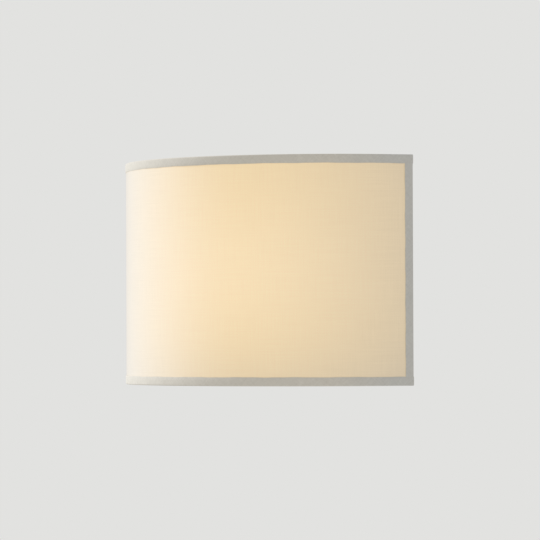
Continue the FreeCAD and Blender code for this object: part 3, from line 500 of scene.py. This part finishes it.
def painted_cloth_glow(tree, uv, slubs):
    """Painted glow: a fixed emission pattern that stands in for lamp light through the cloth. It is warmest
    in front of the bulb, weaker round to the wall on the left where the cloth is lit more from outside, and
    weaker towards the bottom edge. A soft, whiter painted hot spot lies over the bulb itself, and thick
    threads let a little less through."""
    split = add_node(tree, "SeparateXYZ", uv)
    height = split[1]
    around = add_node(tree, "Math", split[0], math.radians(1) * arc_radius(), operation="DIVIDE")[0]
    sides = falloff(tree, around, GLOW_MIDDLE, GLOW_SPREAD)
    left = add_node(tree, "MapRange", around, GLOW_LEFT_START, GLOW_LEFT_END, GLOW_LEFT_SHARE, 1.0,
                    interpolation_type="SMOOTHSTEP")[0]
    rise = falloff(tree, height, GLOW_LEVEL, GLOW_RISE, power=4)
    through = add_node(tree, "MapRange", slubs, To_Min=0.975, To_Max=1.015)[0]
    level = add_node(tree, "Math", sides, left, operation="MULTIPLY")[0]
    level = add_node(tree, "Math", level, rise, operation="MULTIPLY")[0]
    level = add_node(tree, "Math", level, through, operation="MULTIPLY")[0]
    # Painted hot spot: a whiter bell of emission over the bulb.
    patch = add_node(tree, "Math", falloff(tree, around, HOT_SPOT_MIDDLE, HOT_SPOT_SPREAD),
                     falloff(tree, height, 0.0, HOT_SPOT_RISE), operation="MULTIPLY")[0]
    warm = add_node(tree, "VectorMath", linear(colours().painted_cloth_glow)[:3], level, operation="SCALE")[0]
    white = add_node(tree, "VectorMath", HOT_SPOT_COLOUR, patch, operation="SCALE")[0]
    return add_node(tree, "VectorMath", warm, white, operation="ADD")[0]


def woven_cotton():
    """Fine plain-weave cotton, dyed off-white and stretched on a liner. The eye sees an even cream
    cloth with faint slubs along its threads, and a painted warm glow, strongest round the bulb, stands in
    for lamp light from inside."""
    material, tree = new_material("woven_cotton_cover")
    uv = add_node(tree, "UVMap", uv_map="UVMap")[0]
    pitch = sizes().thread_pitch
    warp = threads(tree, uv, 1.5 * pitch, 30 * MM, False, 0.0)
    weft = threads(tree, uv, 1.5 * pitch, 40 * MM, True, 7.3)
    both = add_node(tree, "Math", warp, weft, operation="ADD")[0]
    slubs = add_node(tree, "MapRange", both, From_Min=0.65, From_Max=1.35)[0]
    colour = add_node(tree, "Mix", slubs, *tones(colours().cloth, 0.97, 1.02), data_type="RGBA")[2]
    relief = add_node(tree, "Math", slubs, 0.6, weave_height(tree, uv, pitch), operation="MULTIPLY_ADD")[0]
    bump = add_node(tree, "Bump", Height=relief, Strength=0.22, Distance=0.12 * MM)[0]
    shader = add_node(tree, "BsdfPrincipled", colour, Roughness=0.85, Specular_IOR_Level=0.25,
                      Sheen_Weight=0.8, Sheen_Roughness=0.5, Normal=bump,
                      Emission_Color=painted_cloth_glow(tree, uv, slubs), Emission_Strength=stage().glow)
    add_node(tree, "OutputMaterial", shader[0])
    return material


def cotton_tape():
    """Cotton bias tape, folded and glued over the edges. Nearly opaque and a little cooler than the
    cover, so it reads grey beside the glow; its threads run at 45 degrees to its edge. A faint painted glow,
    emission that stands in for lamp light through the tape, lies on it at the front."""
    material, tree = new_material("cotton_edge_tape")
    uv = add_node(tree, "UVMap", uv_map="UVMap")[0]
    turned = add_node(tree, "Mapping", uv, Rotation=(0, 0, math.radians(45)))[0]
    pitch = 0.9 * MM
    warp = threads(tree, turned, pitch, 8 * MM, False, 3.1)
    weft = threads(tree, turned, pitch, 8 * MM, True, 11.7)
    both = add_node(tree, "Math", warp, weft, operation="ADD")[0]
    slubs = add_node(tree, "MapRange", both, From_Min=0.6, From_Max=1.4)[0]
    colour = add_node(tree, "Mix", slubs, *tones(colours().tape, 0.90, 1.04), data_type="RGBA")[2]
    relief = add_node(tree, "Math", slubs, 0.8, weave_height(tree, turned, pitch),
                      operation="MULTIPLY_ADD")[0]
    bump = add_node(tree, "Bump", Height=relief, Strength=0.35, Distance=0.15 * MM)[0]
    # Painted glow: emission that grows from 20 mm to 60 mm out from the wall, in place of lamp light through
    # the tape.
    place = add_node(tree, "TexCoord")["Object"]
    depth = add_node(tree, "SeparateXYZ", place)[1]
    through = add_node(tree, "MapRange", depth, From_Min=-20 * MM, From_Max=-60 * MM)[0]
    glow = add_node(tree, "VectorMath", linear(colours().painted_cloth_glow)[:3], through, operation="SCALE")[0]
    shader = add_node(tree, "BsdfPrincipled", colour, Roughness=0.9, Specular_IOR_Level=0.2,
                      Sheen_Weight=0.2, Normal=bump, Emission_Color=glow,
                      Emission_Strength=stage().tape_glow)
    add_node(tree, "OutputMaterial", shader[0])
    return material


def speckled(name, code, roughness, grain, strength, spread, metallic=0.0, coat=0.0, specular=0.5,
             rough_spread=0.08):
    """A finish with a fine grain: noise of the given grain size varies the colour and the
    roughness a little and raises the surface, as orange peel, moulding texture or grit does."""
    material, tree = new_material(name)
    place = add_node(tree, "TexCoord")["Object"]
    fine = add_node(tree, "TexNoise", place, Scale=1 / grain, Detail=4.0, Roughness=0.6)["Fac"]
    broad = add_node(tree, "TexNoise", place, Scale=1 / (14 * MM), Detail=2.0)["Fac"]
    both = add_node(tree, "Math", broad, 0.5, fine, operation="MULTIPLY_ADD")[0]
    cloud = add_node(tree, "MapRange", both, From_Min=0.5, From_Max=1.0)[0]
    colour = add_node(tree, "Mix", cloud, *tones(code, 1 - spread, 1 + spread), data_type="RGBA")[2]
    rough = add_node(tree, "MapRange", cloud, To_Min=roughness - rough_spread,
                     To_Max=roughness + rough_spread)[0]
    bump = add_node(tree, "Bump", Height=fine, Strength=strength, Distance=0.05 * MM)[0]
    shader = add_node(tree, "BsdfPrincipled", colour, Roughness=rough, Metallic=metallic,
                      Specular_IOR_Level=specular, Coat_Weight=coat, Normal=bump)
    add_node(tree, "OutputMaterial", shader[0])
    return material


def powder_coat():
    """White powder coat on pressed steel and wire. The eye sees a satin white with a faint orange
    peel, its grain about 1.2 mm."""
    return speckled("white_powder_coat", colours().enamel, 0.42, 1.2 * MM, 0.15, 0.02)


def liner_sheet():
    """Calendered translucent sheet that stiffens the cloth. The eye sees a smooth milky white with a
    soft sheen."""
    return speckled("milky_liner_sheet", "#E9E4D8", 0.38, 2.5 * MM, 0.05, 0.02)


def bright_nickel():
    """Nickel plate over turned brass. The eye sees a warm bright metal with fine turning marks."""
    return speckled("bright_nickel_plate", "#D8D3C8", 0.24, 0.5 * MM, 0.12, 0.06, metallic=1.0)


def zinc_plate():
    """Zinc plate on small steel screws. The eye sees a cool grey metal, slightly cloudy."""
    return speckled("zinc_plated_steel", "#B9BCC0", 0.36, 0.8 * MM, 0.15, 0.12, metallic=1.0)


def bare_brass():
    """Pressed and drawn brass contacts. The eye sees a yellow metal, a little dull."""
    return speckled("bare_brass", "#D0AE62", 0.32, 0.6 * MM, 0.12, 0.10, metallic=1.0)


def tinned_copper():
    """Tinned copper terminal. The eye sees a pale matt metal."""
    return speckled("tinned_copper", "#C9C7C2", 0.40, 0.5 * MM, 0.15, 0.08, metallic=1.0)


def moulded_rubber():
    """Moulded black rubber bush. The eye sees a deep matt grey-black."""
    return speckled("moulded_rubber", "#232322", 0.72, 0.6 * MM, 0.2, 0.15, specular=0.35)


def holder_plastic():
    """Heat-resistant moulded plastic of the lampholder. The eye sees a satin white, fine-grained."""
    return speckled("moulded_holder_plastic", "#E4E2DA", 0.45, 0.5 * MM, 0.12, 0.03)


def steatite():
    """Unglazed pressed ceramic. The eye sees a chalky ivory with tiny grains."""
    return speckled("unglazed_steatite", "#DDD6C6", 0.75, 0.4 * MM, 0.25, 0.07)


def dark_glass():
    """Black glass insulator of the bulb. The eye sees a glossy near-black."""
    return speckled("black_glass_insulator", "#16161A", 0.12, 0.9 * MM, 0.05, 0.2, coat=0.5,
                    rough_spread=0.04)


def bulb_plastic():
    """Moulded white body of the bulb. The eye sees a smooth satin white."""
    return speckled("moulded_bulb_body", "#EDEBE6", 0.35, 0.8 * MM, 0.06, 0.02)


def terminal_nylon():
    """Natural nylon of the terminal block. The eye sees a milky, waxy white."""
    return speckled("natural_nylon", "#E8E6DF", 0.48, 0.7 * MM, 0.1, 0.03)


def brown_silicone():
    """Brown silicone insulation. The eye sees a dull, slightly dusty brown."""
    return speckled("brown_silicone", "#5B3521", 0.6, 0.5 * MM, 0.1, 0.1)


def blue_silicone():
    """Blue silicone insulation. The eye sees a dull mid blue."""
    return speckled("blue_silicone", "#2E5FA8", 0.6, 0.5 * MM, 0.1, 0.1)


def striped_silicone():
    """Green silicone insulation with a yellow stripe wound round it once every 12 mm. The eye sees
    both colours from every side."""
    material, tree = new_material("green_yellow_silicone")
    uv = add_node(tree, "UVMap", uv_map="UVMap")[0]
    split = add_node(tree, "SeparateXYZ", uv)
    along = add_node(tree, "Math", split[0], 12 * MM, operation="DIVIDE")[0]
    around = add_node(tree, "Math", split[1], TAU * CORE_RADIUS, operation="DIVIDE")[0]
    wound = add_node(tree, "Math", along, around, operation="ADD")[0]
    turn = add_node(tree, "Math", wound, operation="FRACT")[0]
    stripe = add_node(tree, "Math", turn, 0.55, operation="GREATER_THAN")[0]
    colour = add_node(tree, "Mix", stripe, linear("#3C8A3A"), linear("#E3C62B"), data_type="RGBA")[2]
    shader = add_node(tree, "BsdfPrincipled", colour, Roughness=0.55)
    add_node(tree, "OutputMaterial", shader[0])
    return material


def glass_braid():
    """Braided glass-fibre sleeve. The eye sees an off-white tube with a fine crossing braid."""
    material, tree = new_material("braided_glass_sleeve")
    uv = add_node(tree, "UVMap", uv_map="UVMap")[0]
    turned = add_node(tree, "Mapping", uv, Rotation=(0, 0, math.radians(45)))[0]
    weave = weave_height(tree, turned, 0.8 * MM)
    colour = add_node(tree, "Mix", weave, linear("#CFCABB"), linear("#EFECE2"), data_type="RGBA")[2]
    bump = add_node(tree, "Bump", Height=weave, Strength=0.6, Distance=0.2 * MM)[0]
    shader = add_node(tree, "BsdfPrincipled", colour, Roughness=0.7, Normal=bump)
    add_node(tree, "OutputMaterial", shader[0])
    return material


def lit_opal():
    """Opal globe of the bulb, lit. The eye sees an even warm white, a shade dimmer by its neck."""
    material, tree = new_material("lit_opal_globe")
    place = add_node(tree, "TexCoord")["Object"]
    height = add_node(tree, "SeparateXYZ", place)[2]
    rise = add_node(tree, "MapRange", height, GLOBE_LOW[2], GLOBE_HIGH[2], 0.8, 1.0)[0]
    colour = add_node(tree, "Mix", rise, linear("#F1E6D2"), linear("#FBF7EE"), data_type="RGBA")[2]
    glow = add_node(tree, "VectorMath", linear(colours().lamp_light)[:3], rise, operation="SCALE")[0]
    shader = add_node(tree, "BsdfPrincipled", colour, Roughness=0.3, Emission_Color=glow,
                      Emission_Strength=stage().globe_glow)
    add_node(tree, "OutputMaterial", shader[0])
    return material


def pale_floor():
    """Matt painted floor. The eye sees a plain pale grey that fades out between 0.7 and 1.9 m from
    the middle, so that no edge shows against the background."""
    material, tree = new_material("pale_floor")
    place = add_node(tree, "TexCoord")["Object"]
    flat = add_node(tree, "VectorMath", place, (1, 1, 0), operation="MULTIPLY")[0]
    away = add_node(tree, "VectorMath", flat, operation="LENGTH")["Value"]
    fade = add_node(tree, "MapRange", away, 0.7, 1.9, 1.0, 0.0, interpolation_type="SMOOTHSTEP")[0]
    noise = add_node(tree, "TexNoise", place, Scale=40.0, Detail=3.0)["Fac"]
    colour = add_node(tree, "Mix", noise, linear("#D9D9D7"), linear("#DEDEDC"), data_type="RGBA")[2]
    shader = add_node(tree, "BsdfPrincipled", colour, Roughness=0.9, Specular_IOR_Level=0.1, Alpha=fade)
    add_node(tree, "OutputMaterial", shader[0])
    return material


FINISHES = {
    "woven_fabric": woven_cotton, "translucent_liner": liner_sheet, "bias_tape": cotton_tape,
    "coated_wire": powder_coat, "white_enamel": powder_coat, "nickel_plate": bright_nickel,
    "zinc_plate": zinc_plate, "brass": bare_brass, "tinned_copper": tinned_copper,
    "black_rubber": moulded_rubber, "holder_plastic": holder_plastic, "steatite": steatite,
    "dark_glass": dark_glass, "bulb_plastic": bulb_plastic, "opal_globe": lit_opal,
    "terminal_nylon": terminal_nylon, "brown_silicone": brown_silicone,
    "blue_silicone": blue_silicone, "green_yellow_silicone": striped_silicone,
    "glass_sleeve": glass_braid,
}
made_finishes = {}


def finish_for(slot):
    """The material of a slot, made once."""
    if slot not in made_finishes:
        made_finishes[slot] = FINISHES[slot]()
    return made_finishes[slot]


# ---------------------------------------------------------------- operators
class WALLLIGHT_OT_finishes(bpy.types.Operator):
    """Give every carried-over part its own finish"""

    bl_idname = "wall_light.finishes"
    bl_label = "Finishes of the parts"

    def execute(self, context):
        for row in frame["record"]["subparts"]:
            part = frame["nodes"][row["node"]]
            part.data.materials.clear()
            part.data.materials.append(finish_for(row["material_slot"]))
        return {"FINISHED"}


class WALLLIGHT_OT_cover(bpy.types.Operator):
    """Stretch the woven cover round the liner"""

    bl_idname = "wall_light.cover"
    bl_label = "Woven cover"

    def execute(self, context):
        """The cloth is a cylinder: its angle runs from rear edge to rear edge and its height from
        the bottom tape's fold to the top tape's. A slight ripple, the sine of the angle times the
        cosine of the height, keeps its reflection from being too even."""
        shade = sizes()
        radius = arc_radius()
        end = arc_end() - shade.tape_thickness / radius
        top = SHADE_TOP - shade.tape_thickness
        angle = np.linspace(-end, end, 181)
        height = np.linspace(-top, top, 61)
        ripple = CLOTH_RIPPLE * np.sin(angle * 17)[:, None] * np.cos(height * 31)[None, :]
        outer = on_arc(radius + CLOTH_LIFT + ripple, angle[:, None], height[None, :])
        inner = on_arc(radius - shade.cloth_thickness, angle[:, None], height[None, :])
        sheet = thick_sheet(outer, inner, angle * radius, height)
        piece = make_piece("woven_cover", "shade_fabric", "shade", "woven_fabric", [sheet])
        return {"FINISHED"}


class WALLLIGHT_OT_tapes(bpy.types.Operator):
    """Fold the cotton tape over the top, bottom and upright edges"""

    bl_idname = "wall_light.tapes"
    bl_label = "Edge tapes"

    def execute(self, context):
        for side, sign in (("top", 1), ("bottom", -1)):
            make_piece("tape_" + side, "edge_tape_" + side, "shade", "bias_tape", tape_over_ring(sign),
                       sharp=50)
        for side, sign in (("right", 1), ("left", -1)):
            make_piece("tape_" + side, "edge_tape_" + side, "shade", "bias_tape", [tape_round_edge(sign)],
                       sharp=50)
        return {"FINISHED"}


def ring_tape_lines(behind, turn_in):
    """Outer and inner line of a ring tape's section, as (radius, height) points: up the face from its
    thinned edge, over two rounded folds and down to the end of the turn-in. behind is the radius at
    which the turn-in lies on the wire or the liner."""
    shade = sizes()
    thick = shade.tape_thickness
    seat = arc_radius() + SEAT_GAP
    bottom = SHADE_TOP - shade.tape_face
    shoulder = SHADE_TOP - TAPE_FOLD
    face_middle = (bottom + shoulder) / 2
    inner_fold = TAPE_FOLD - thick
    outer = [
        [[seat + 0.4 * thick, bottom], [seat + 0.8 * thick, bottom + TAPE_LIP], [seat + thick, face_middle]],
        bend((seat + thick - TAPE_FOLD, shoulder), 0, 90, TAPE_FOLD),
        [[(seat + behind) / 2, SHADE_TOP]],
        bend((behind - thick + TAPE_FOLD, shoulder), 90, 180, TAPE_FOLD),
        [[behind - thick, SHADE_TOP - turn_in]]]
    inner = [
        [[seat, bottom], [seat, bottom + TAPE_LIP], [seat, face_middle]],
        bend((seat - inner_fold, shoulder), 0, 90, inner_fold),
        [[(seat + behind) / 2, SHADE_TOP - thick]],
        bend((behind + inner_fold, shoulder), 90, 180, inner_fold),
        [[behind, SHADE_TOP - turn_in]]]
    return np.concatenate(outer), np.concatenate(inner)


def tape_over_ring(sign):
    """A ring tape's section, carried along the arc. Near each rear corner the wire leaves the cloth,
    and the turn-in draws back to the liner's edge there. The raw edge of its face strays by two sines
    of the angle. A small block closes the tape at each rear edge."""
    shade = sizes()
    thick = shade.tape_thickness
    radius = arc_radius()
    end = arc_end()
    behind_liner = radius - LAMINATE - HAIR
    behind_wire = behind_liner - 2 * WIRE_RADIUS
    corner = EDGE_TURN_IN / radius + math.radians(RING_LEAVES)
    angle = np.concatenate([np.linspace(-end, corner - end, 13)[:-1],
                            np.linspace(corner - end, end - corner, 169),
                            np.linspace(end - corner, end, 13)[1:]])
    on_wire = (end - np.abs(angle)) / corner >= 1
    stray = 0.10 * MM * np.sin(angle * 23) + 0.06 * MM * np.sin(angle * 61 + 1.3)
    lines = [np.where(on_wire[:, None, None], wire_line, edge_line) for wire_line, edge_line in
             zip(ring_tape_lines(behind_wire, shade.tape_turn_in),
                 ring_tape_lines(behind_liner, TAPE_FOLD + HAIR))]
    for line in lines:
        line[:, :3, 1] -= stray[:, None] * (1, 1, 0.5)
    outer, inner = (on_arc(line[..., 0], angle[:, None], sign * line[..., 1]) for line in lines)
    tape = thick_sheet(outer, inner, angle * radius, running_length(lines[0][len(angle) // 2]))
    heights = np.array([SHADE_TOP - shade.tape_face, SHADE_TOP - thick - CLOSER_GAP])
    closers = []
    for side in (-1, 1):
        rim = np.array([end - thick / radius, end]) * side
        faces = [on_arc(level, rim[:, None], sign * heights[None, :])
                 for level in (radius + SEAT_GAP, behind_liner - thick)]
        closers.append(thick_sheet(*faces, rim * radius, heights))
    return [tape, *closers]


def tape_round_edge(sign):
    """An upright tape: its section runs along the arc on the outside, round the rear edge of the cloth
    and liner in a half circle, and back along the inside. The raw edge of its face strays by two sines
    of the height."""
    shade = sizes()
    thick = shade.tape_thickness
    radius = arc_radius()
    end = arc_end()
    top = SHADE_TOP - shade.tape_face + TAPE_OVERLAP
    height = np.linspace(-top, top, 81)
    stray = 0.12 * MM * np.sin(height * 190) + 0.07 * MM * np.sin(height * 470 + 0.7)
    middle = radius + (SEAT_GAP - EDGE_SEAT) / 2
    half_inner = (SEAT_GAP + EDGE_SEAT) / 2
    half_outer = half_inner + thick
    turn = np.radians(np.linspace(90, -90, 11))
    fold = end - half_outer / radius
    face = np.linspace(end - shade.tape_face / radius, fold, 6)[:-1]
    back = np.linspace(fold, end - EDGE_TURN_IN / radius, 5)[1:]
    share = np.concatenate([np.linspace(1, 0, 6)[:-1], np.zeros(len(turn) + len(back))])
    places = []
    for half in (half_outer, half_inner):
        out = np.concatenate([np.ones(len(face)), np.sin(turn), -np.ones(len(back))]) * half
        angle = np.concatenate([face, fold + half * np.cos(turn) / radius, back])
        angle = angle - stray[:, None] / radius * share
        places.append(on_arc(middle + out, sign * angle, height[:, None]))
        if half == half_outer:
            along = running_length(np.stack([out, angle[0] * radius], -1))
    return thick_sheet(*places, height, along)


class WALLLIGHT_OT_wire_frame(bpy.types.Operator):
    """Bend the two ring wires and set the uprights between them"""

    bl_idname = "wall_light.wire_frame"
    bl_label = "Wire frame of the shade"

    def execute(self, context):
        for side, sign in (("top", 1), ("bottom", -1)):
            path = ring_path(sign * (RING_HIGH[2] + RING_LOW[2]) / 2)
            part = closed_tube(path, WIRE_RADIUS, (0, 0, 1))
            make_piece("ring_" + side, "frame_ring_" + side, "shade", "coated_wire", [part])
        for side in ("right", "left"):
            node = "frame_upright_" + side
            make_piece("upright_" + side, node, "shade", "coated_wire", [upright_bar(*node_box(node))])
        return {"FINISHED"}


def ring_path(level):
    """The D of a ring wire: an arc behind the liner, a small bend at each rear corner and a straight
    run along the wall. On arc and bend, x is the centre's plus the radius times the sine and y the
    centre's less the radius times the cosine. The left half is the right half mirrored."""
    radius = arc_radius() - LAMINATE - WIRE_RADIUS
    rear = RING_HIGH[1] - WIRE_RADIUS
    centre_y = rear - RING_BEND
    centre_x = math.sqrt((radius - RING_BEND) ** 2 - (arc_centre_y() - centre_y) ** 2)
    start = math.atan2(centre_x, arc_centre_y() - centre_y)
    angle = np.linspace(0, start, 91)
    arc = np.stack([radius * np.sin(angle), arc_centre_y() - radius * np.cos(angle)], -1)
    turn = np.linspace(start, math.pi, 13)[1:]
    corner = np.stack([centre_x + RING_BEND * np.sin(turn), centre_y - RING_BEND * np.cos(turn)], -1)
    run = np.stack([np.linspace(centre_x, 0, 12)[1:], np.full(11, rear)], -1)
    right = np.concatenate([arc, corner, run])
    left = right[1:-1][::-1] * [-1, 1]
    flat = np.concatenate([right, left])
    return np.concatenate([flat, np.full((len(flat), 1), level)], 1)


def upright_bar(low, high):
    """A straight bar up the middle of its box. At both ends its radius grows by a share of the height,
    as wire does where it is welded."""
    middle = (low + high) / 2
    height = np.linspace(low[2], high[2], 25)
    path = np.stack([np.full(25, middle[0]), np.full(25, middle[1]), height], -1)
    swell = np.clip(np.abs(height) - (high[2] - WELD_LENGTH), 0, None)
    return tube(path, WIRE_RADIUS * 0.995 + swell * WELD_SLOPE, (0, 1, 0), 24)


class WALLLIGHT_OT_bulb(bpy.types.Operator):
    """Turn the bulb: globe, body and screw cap"""

    bl_idname = "wall_light.bulb"
    bl_label = "Bulb"

    def execute(self, context):
        axis = tuple((GLOBE_LOW[:2] + GLOBE_HIGH[:2]) / 2)
        globe = lathe(globe_profile(), axis)
        make_piece("opal_globe", "bulb_globe", "bulb", "opal_globe", [globe], sharp=60)
        shell = lathe(bulb_body_profile(), axis)
        make_piece("bulb_shell", "bulb_body", "bulb", "bulb_plastic", [shell], sharp=60)
        make_piece("screw_cap", "bulb_cap", "bulb", "nickel_plate", [screw_cap(axis)], sharp=50)
        return {"FINISHED"}


def globe_profile():
    """A ball down to its joint with the body, then a bevelled rim turned in: the radius is the
    cosine and the height the sine of the angle above the ball's middle, times the ball's radius."""
    rim = 1.2 * MM
    radius = (GLOBE_HIGH[0] - GLOBE_LOW[0]) / 2
    centre = GLOBE_HIGH[2] - radius
    joint = GLOBE_LOW[2]
    turn = np.linspace(math.asin((joint - centre) / radius), math.pi / 2, 48)[:-1]
    ball = np.stack([radius * np.cos(turn), centre + radius * np.sin(turn)], -1)
    edge = ball[0, 0]
    ball[0, 1] += 0.2 * MM
    return np.concatenate([[[0, joint], [edge - rim, joint], [edge - JOINT_BEVEL, joint]],
                           ball, [[0, centre + radius]]])


def bulb_body_profile():
    """The body flares from neck to globe: its radius runs from one to the other with a smooth step
    of the height, three times the square less twice the cube, raised a little, with a short straight
    stretch at each end."""
    neck = 8.4 * MM
    straight = 0.08
    joint_gap = 0.02 * MM
    wide = (BODY_HIGH[0] - BODY_LOW[0]) / 2
    low, high = BODY_LOW[2], BODY_HIGH[2]
    share = np.linspace(0, 1, 40)
    eased = np.clip((share - straight) / (1 - 2 * straight), 0, 1)
    radius = neck + (wide - neck) * (3 * eased ** 2 - 2 * eased ** 3) ** 0.92
    wall = np.stack([radius, low + share * (high - low)], -1)
    wall[-1] -= (JOINT_BEVEL, joint_gap)
    return np.concatenate([[[0, low + joint_gap / 2]], wall, [[0, high - joint_gap]]])


def screw_cap(axis):
    """A rolled screw thread: the radius swings by 0.33 mm with the cosine of the turn less the
    height over a pitch of 2.82 mm, and the swing dies away at both ends. Above it the cap flares out
    to its rim with the height to the power 1.5."""
    root = 6.6 * MM
    rim_radius = 8.35 * MM
    low, high = CAP_LOW[2], CAP_HIGH[2]
    rim = high - 1.5 * MM
    height = np.linspace(low, rim, 96)
    turn = np.arange(72) * TAU / 72
    fade = np.clip((height - low) / (1.6 * MM), 0, 1) * np.clip((rim - height) / (1.2 * MM), 0, 1)
    thread = 0.33 * MM * np.cos(turn[None, :] - height[:, None] * TAU / (2.82 * MM)) * fade[:, None]
    flare = np.linspace(0, 1, 6)[1:, None]
    rim_rows = root + (rim_radius - root) * flare ** 1.5 + np.zeros((1, 72))
    radius = np.concatenate([root + thread, rim_rows])
    levels = np.concatenate([height, rim + flare[:, 0] * (high - rim)])
    points = np.stack([axis[0] + radius * np.cos(turn), axis[1] + radius * np.sin(turn),
                       np.broadcast_to(levels[:, None], radius.shape)], -1)
    v = np.linspace(0, TAU * root, 73)
    return capped(grid(points, levels, v, wrap_v=True), len(levels), 72, [[*axis, low], [*axis, high]])


class WALLLIGHT_OT_wiring(bpy.types.Operator):
    """Lay the three wires and the braided sleeve along their routes"""

    bl_idname = "wall_light.wiring"
    bl_label = "Wiring"

    def execute(self, context):
        for name, node, slot, bends, route in WIRES:
            core = tube(rounded(route, bends), CORE_RADIUS, (1, 0, 0), 16)
            make_piece(name, node, "fixture", slot, [core])
        sleeve = hollow_tube(rounded(SLEEVE_ROUTE, SLEEVE_BENDS), SLEEVE_RADIUS, SLEEVE_BORE)
        make_piece("braided_sleeve", "wire_sleeve", "fixture", "glass_sleeve", [sleeve], sharp=50)
        return {"FINISHED"}


class WALLLIGHT_OT_stage(bpy.types.Operator):
    """Lay the pale floor, hang the soft light and set the camera"""

    bl_idname = "wall_light.stage"
    bl_label = "Floor, light and camera"

    def execute(self, context):
        make_floor()
        make_light()
        make_camera()
        context.scene.view_settings.view_transform = "Standard"
        return {"FINISHED"}


def make_floor():
    """A flat disc of rings 0.05 m to 2 m in radius: x and y are the radius times the cosine and the
    sine of the turn. A fan of triangles closes its middle."""
    sides = 96
    turn = np.arange(sides) * TAU / sides
    rings = np.linspace(0.05, 2.0, 24)
    level = stage().floor_level
    points = np.stack([rings[:, None] * np.cos(turn), rings[:, None] * np.sin(turn),
                       np.full((len(rings), sides), level)], -1)
    points, (faces,), _ = grid(points, rings, np.linspace(0, TAU, sides + 1), wrap_v=True)
    ring = np.arange(sides)
    fan = np.stack([np.full(sides, len(points)), ring, (ring + 1) % sides], -1)
    points = np.concatenate([points, [[0, 0, level]]])
    mesh = bpy.data.meshes.new("floor")
    mesh.from_pydata(points.tolist(), [], faces[:, ::-1].tolist() + fan.tolist())
    mesh.materials.append(pale_floor())
    add_object("floor", mesh)


def make_light():
    """Even light from all round, and one soft key from the left. The camera, mirrors and glass see a
    plain pale background instead of the even light."""
    world = bpy.data.worlds.new("studio")
    bpy.context.scene.world = world
    world.use_nodes = True
    tree = world.node_tree
    tree.nodes.clear()
    path = add_node(tree, "LightPath")
    sees = add_node(tree, "Math", path["Is Camera Ray"], path["Is Glossy Ray"], operation="MAXIMUM")[0]
    sees = add_node(tree, "Math", sees, path["Is Transmission Ray"], operation="MAXIMUM")[0]
    even = add_node(tree, "Background", (1, 1, 1, 1), stage().ambient)[0]
    backdrop = add_node(tree, "Background", linear(stage().background), 1.0)[0]
    mix = add_node(tree, "MixShader", sees, even, backdrop)[0]
    add_node(tree, "OutputWorld", mix)
    light = bpy.data.lights.new("soft_key", "SUN")
    light.energy = stage().key
    light.angle = math.radians(22)
    key = add_object("soft_key", light)
    travel = Vector((0.92, 0.22, -0.42)).normalized()
    key.rotation_euler = travel.to_track_quat("-Z", "Y").to_euler()


def make_camera():
    """The photograph's view: 44 degrees round to the right and level with the lower half of the
    shade, from 2.74 m, worked out from the edges of the shade in the picture."""
    distance = 2.737
    azimuth = math.radians(43.78)
    height = -49.2 * MM
    yaw = math.radians(43.85)
    pitch = math.radians(1.079)
    roll = math.radians(-0.2)
    focal_pixels = 3383.5
    picture_width = 540
    data = bpy.data.cameras.new("camera")
    data.sensor_width = 36.0
    data.lens = data.sensor_width * focal_pixels / picture_width
    data.clip_end = 50
    camera = add_object("camera", data)
    forward = Vector((-math.sin(yaw) * math.cos(pitch), math.cos(yaw) * math.cos(pitch), math.sin(pitch)))
    level_right = Vector((math.cos(yaw), math.sin(yaw), 0))
    level_up = level_right.cross(forward)
    right = level_right * math.cos(roll) + level_up * math.sin(roll)
    up = level_up * math.cos(roll) - level_right * math.sin(roll)
    turn = Matrix((right, up, -forward)).transposed().to_4x4()
    place = Vector((distance * math.sin(azimuth), -distance * math.cos(azimuth) - sizes().standoff, height))
    camera.matrix_world = Matrix.Translation(place) @ turn
    bpy.context.scene.camera = camera


class WALLLIGHT_PT_panel(bpy.types.Panel):
    """Lists the steps that dress the wall light, and its sizes, colours and stage"""

    bl_label = "Wall light"
    bl_idname = "WALLLIGHT_PT_panel"
    bl_space_type = "VIEW_3D"
    bl_region_type = "UI"
    bl_category = "Wall light"

    def draw(self, context):
        for step in STEPS:
            self.layout.operator(step.bl_idname)
        for group in (sizes(), colours(), stage()):
            column = self.layout.column()
            for key in group.__annotations__:
                column.prop(group, key)


STEPS = (WALLLIGHT_OT_finishes, WALLLIGHT_OT_tapes, WALLLIGHT_OT_cover, WALLLIGHT_OT_wire_frame,
         WALLLIGHT_OT_bulb, WALLLIGHT_OT_wiring, WALLLIGHT_OT_stage)
CLASSES = (ShadeSizes, LampColours, StageSettings, *STEPS, WALLLIGHT_PT_panel)


def register():
    """Registers the classes and gives the scene its sizes, colours and stage."""
    for entry in CLASSES:
        bpy.utils.register_class(entry)
    scene = bpy.types.Scene
    scene.wall_light_sizes = bpy.props.PointerProperty(type=ShadeSizes)
    scene.wall_light_colours = bpy.props.PointerProperty(type=LampColours)
    scene.wall_light_stage = bpy.props.PointerProperty(type=StageSettings)


def unregister():
    """Takes all of them away again."""
    scene = bpy.types.Scene
    del scene.wall_light_stage
    del scene.wall_light_colours
    del scene.wall_light_sizes
    for entry in reversed(CLASSES):
        bpy.utils.unregister_class(entry)


def main():
    register()
    for step in STEPS:
        group, name = step.bl_idname.split(".")
        getattr(getattr(bpy.ops, group), name)()
    bpy.context.view_layer.update()


if __name__ == "__main__":
    main()
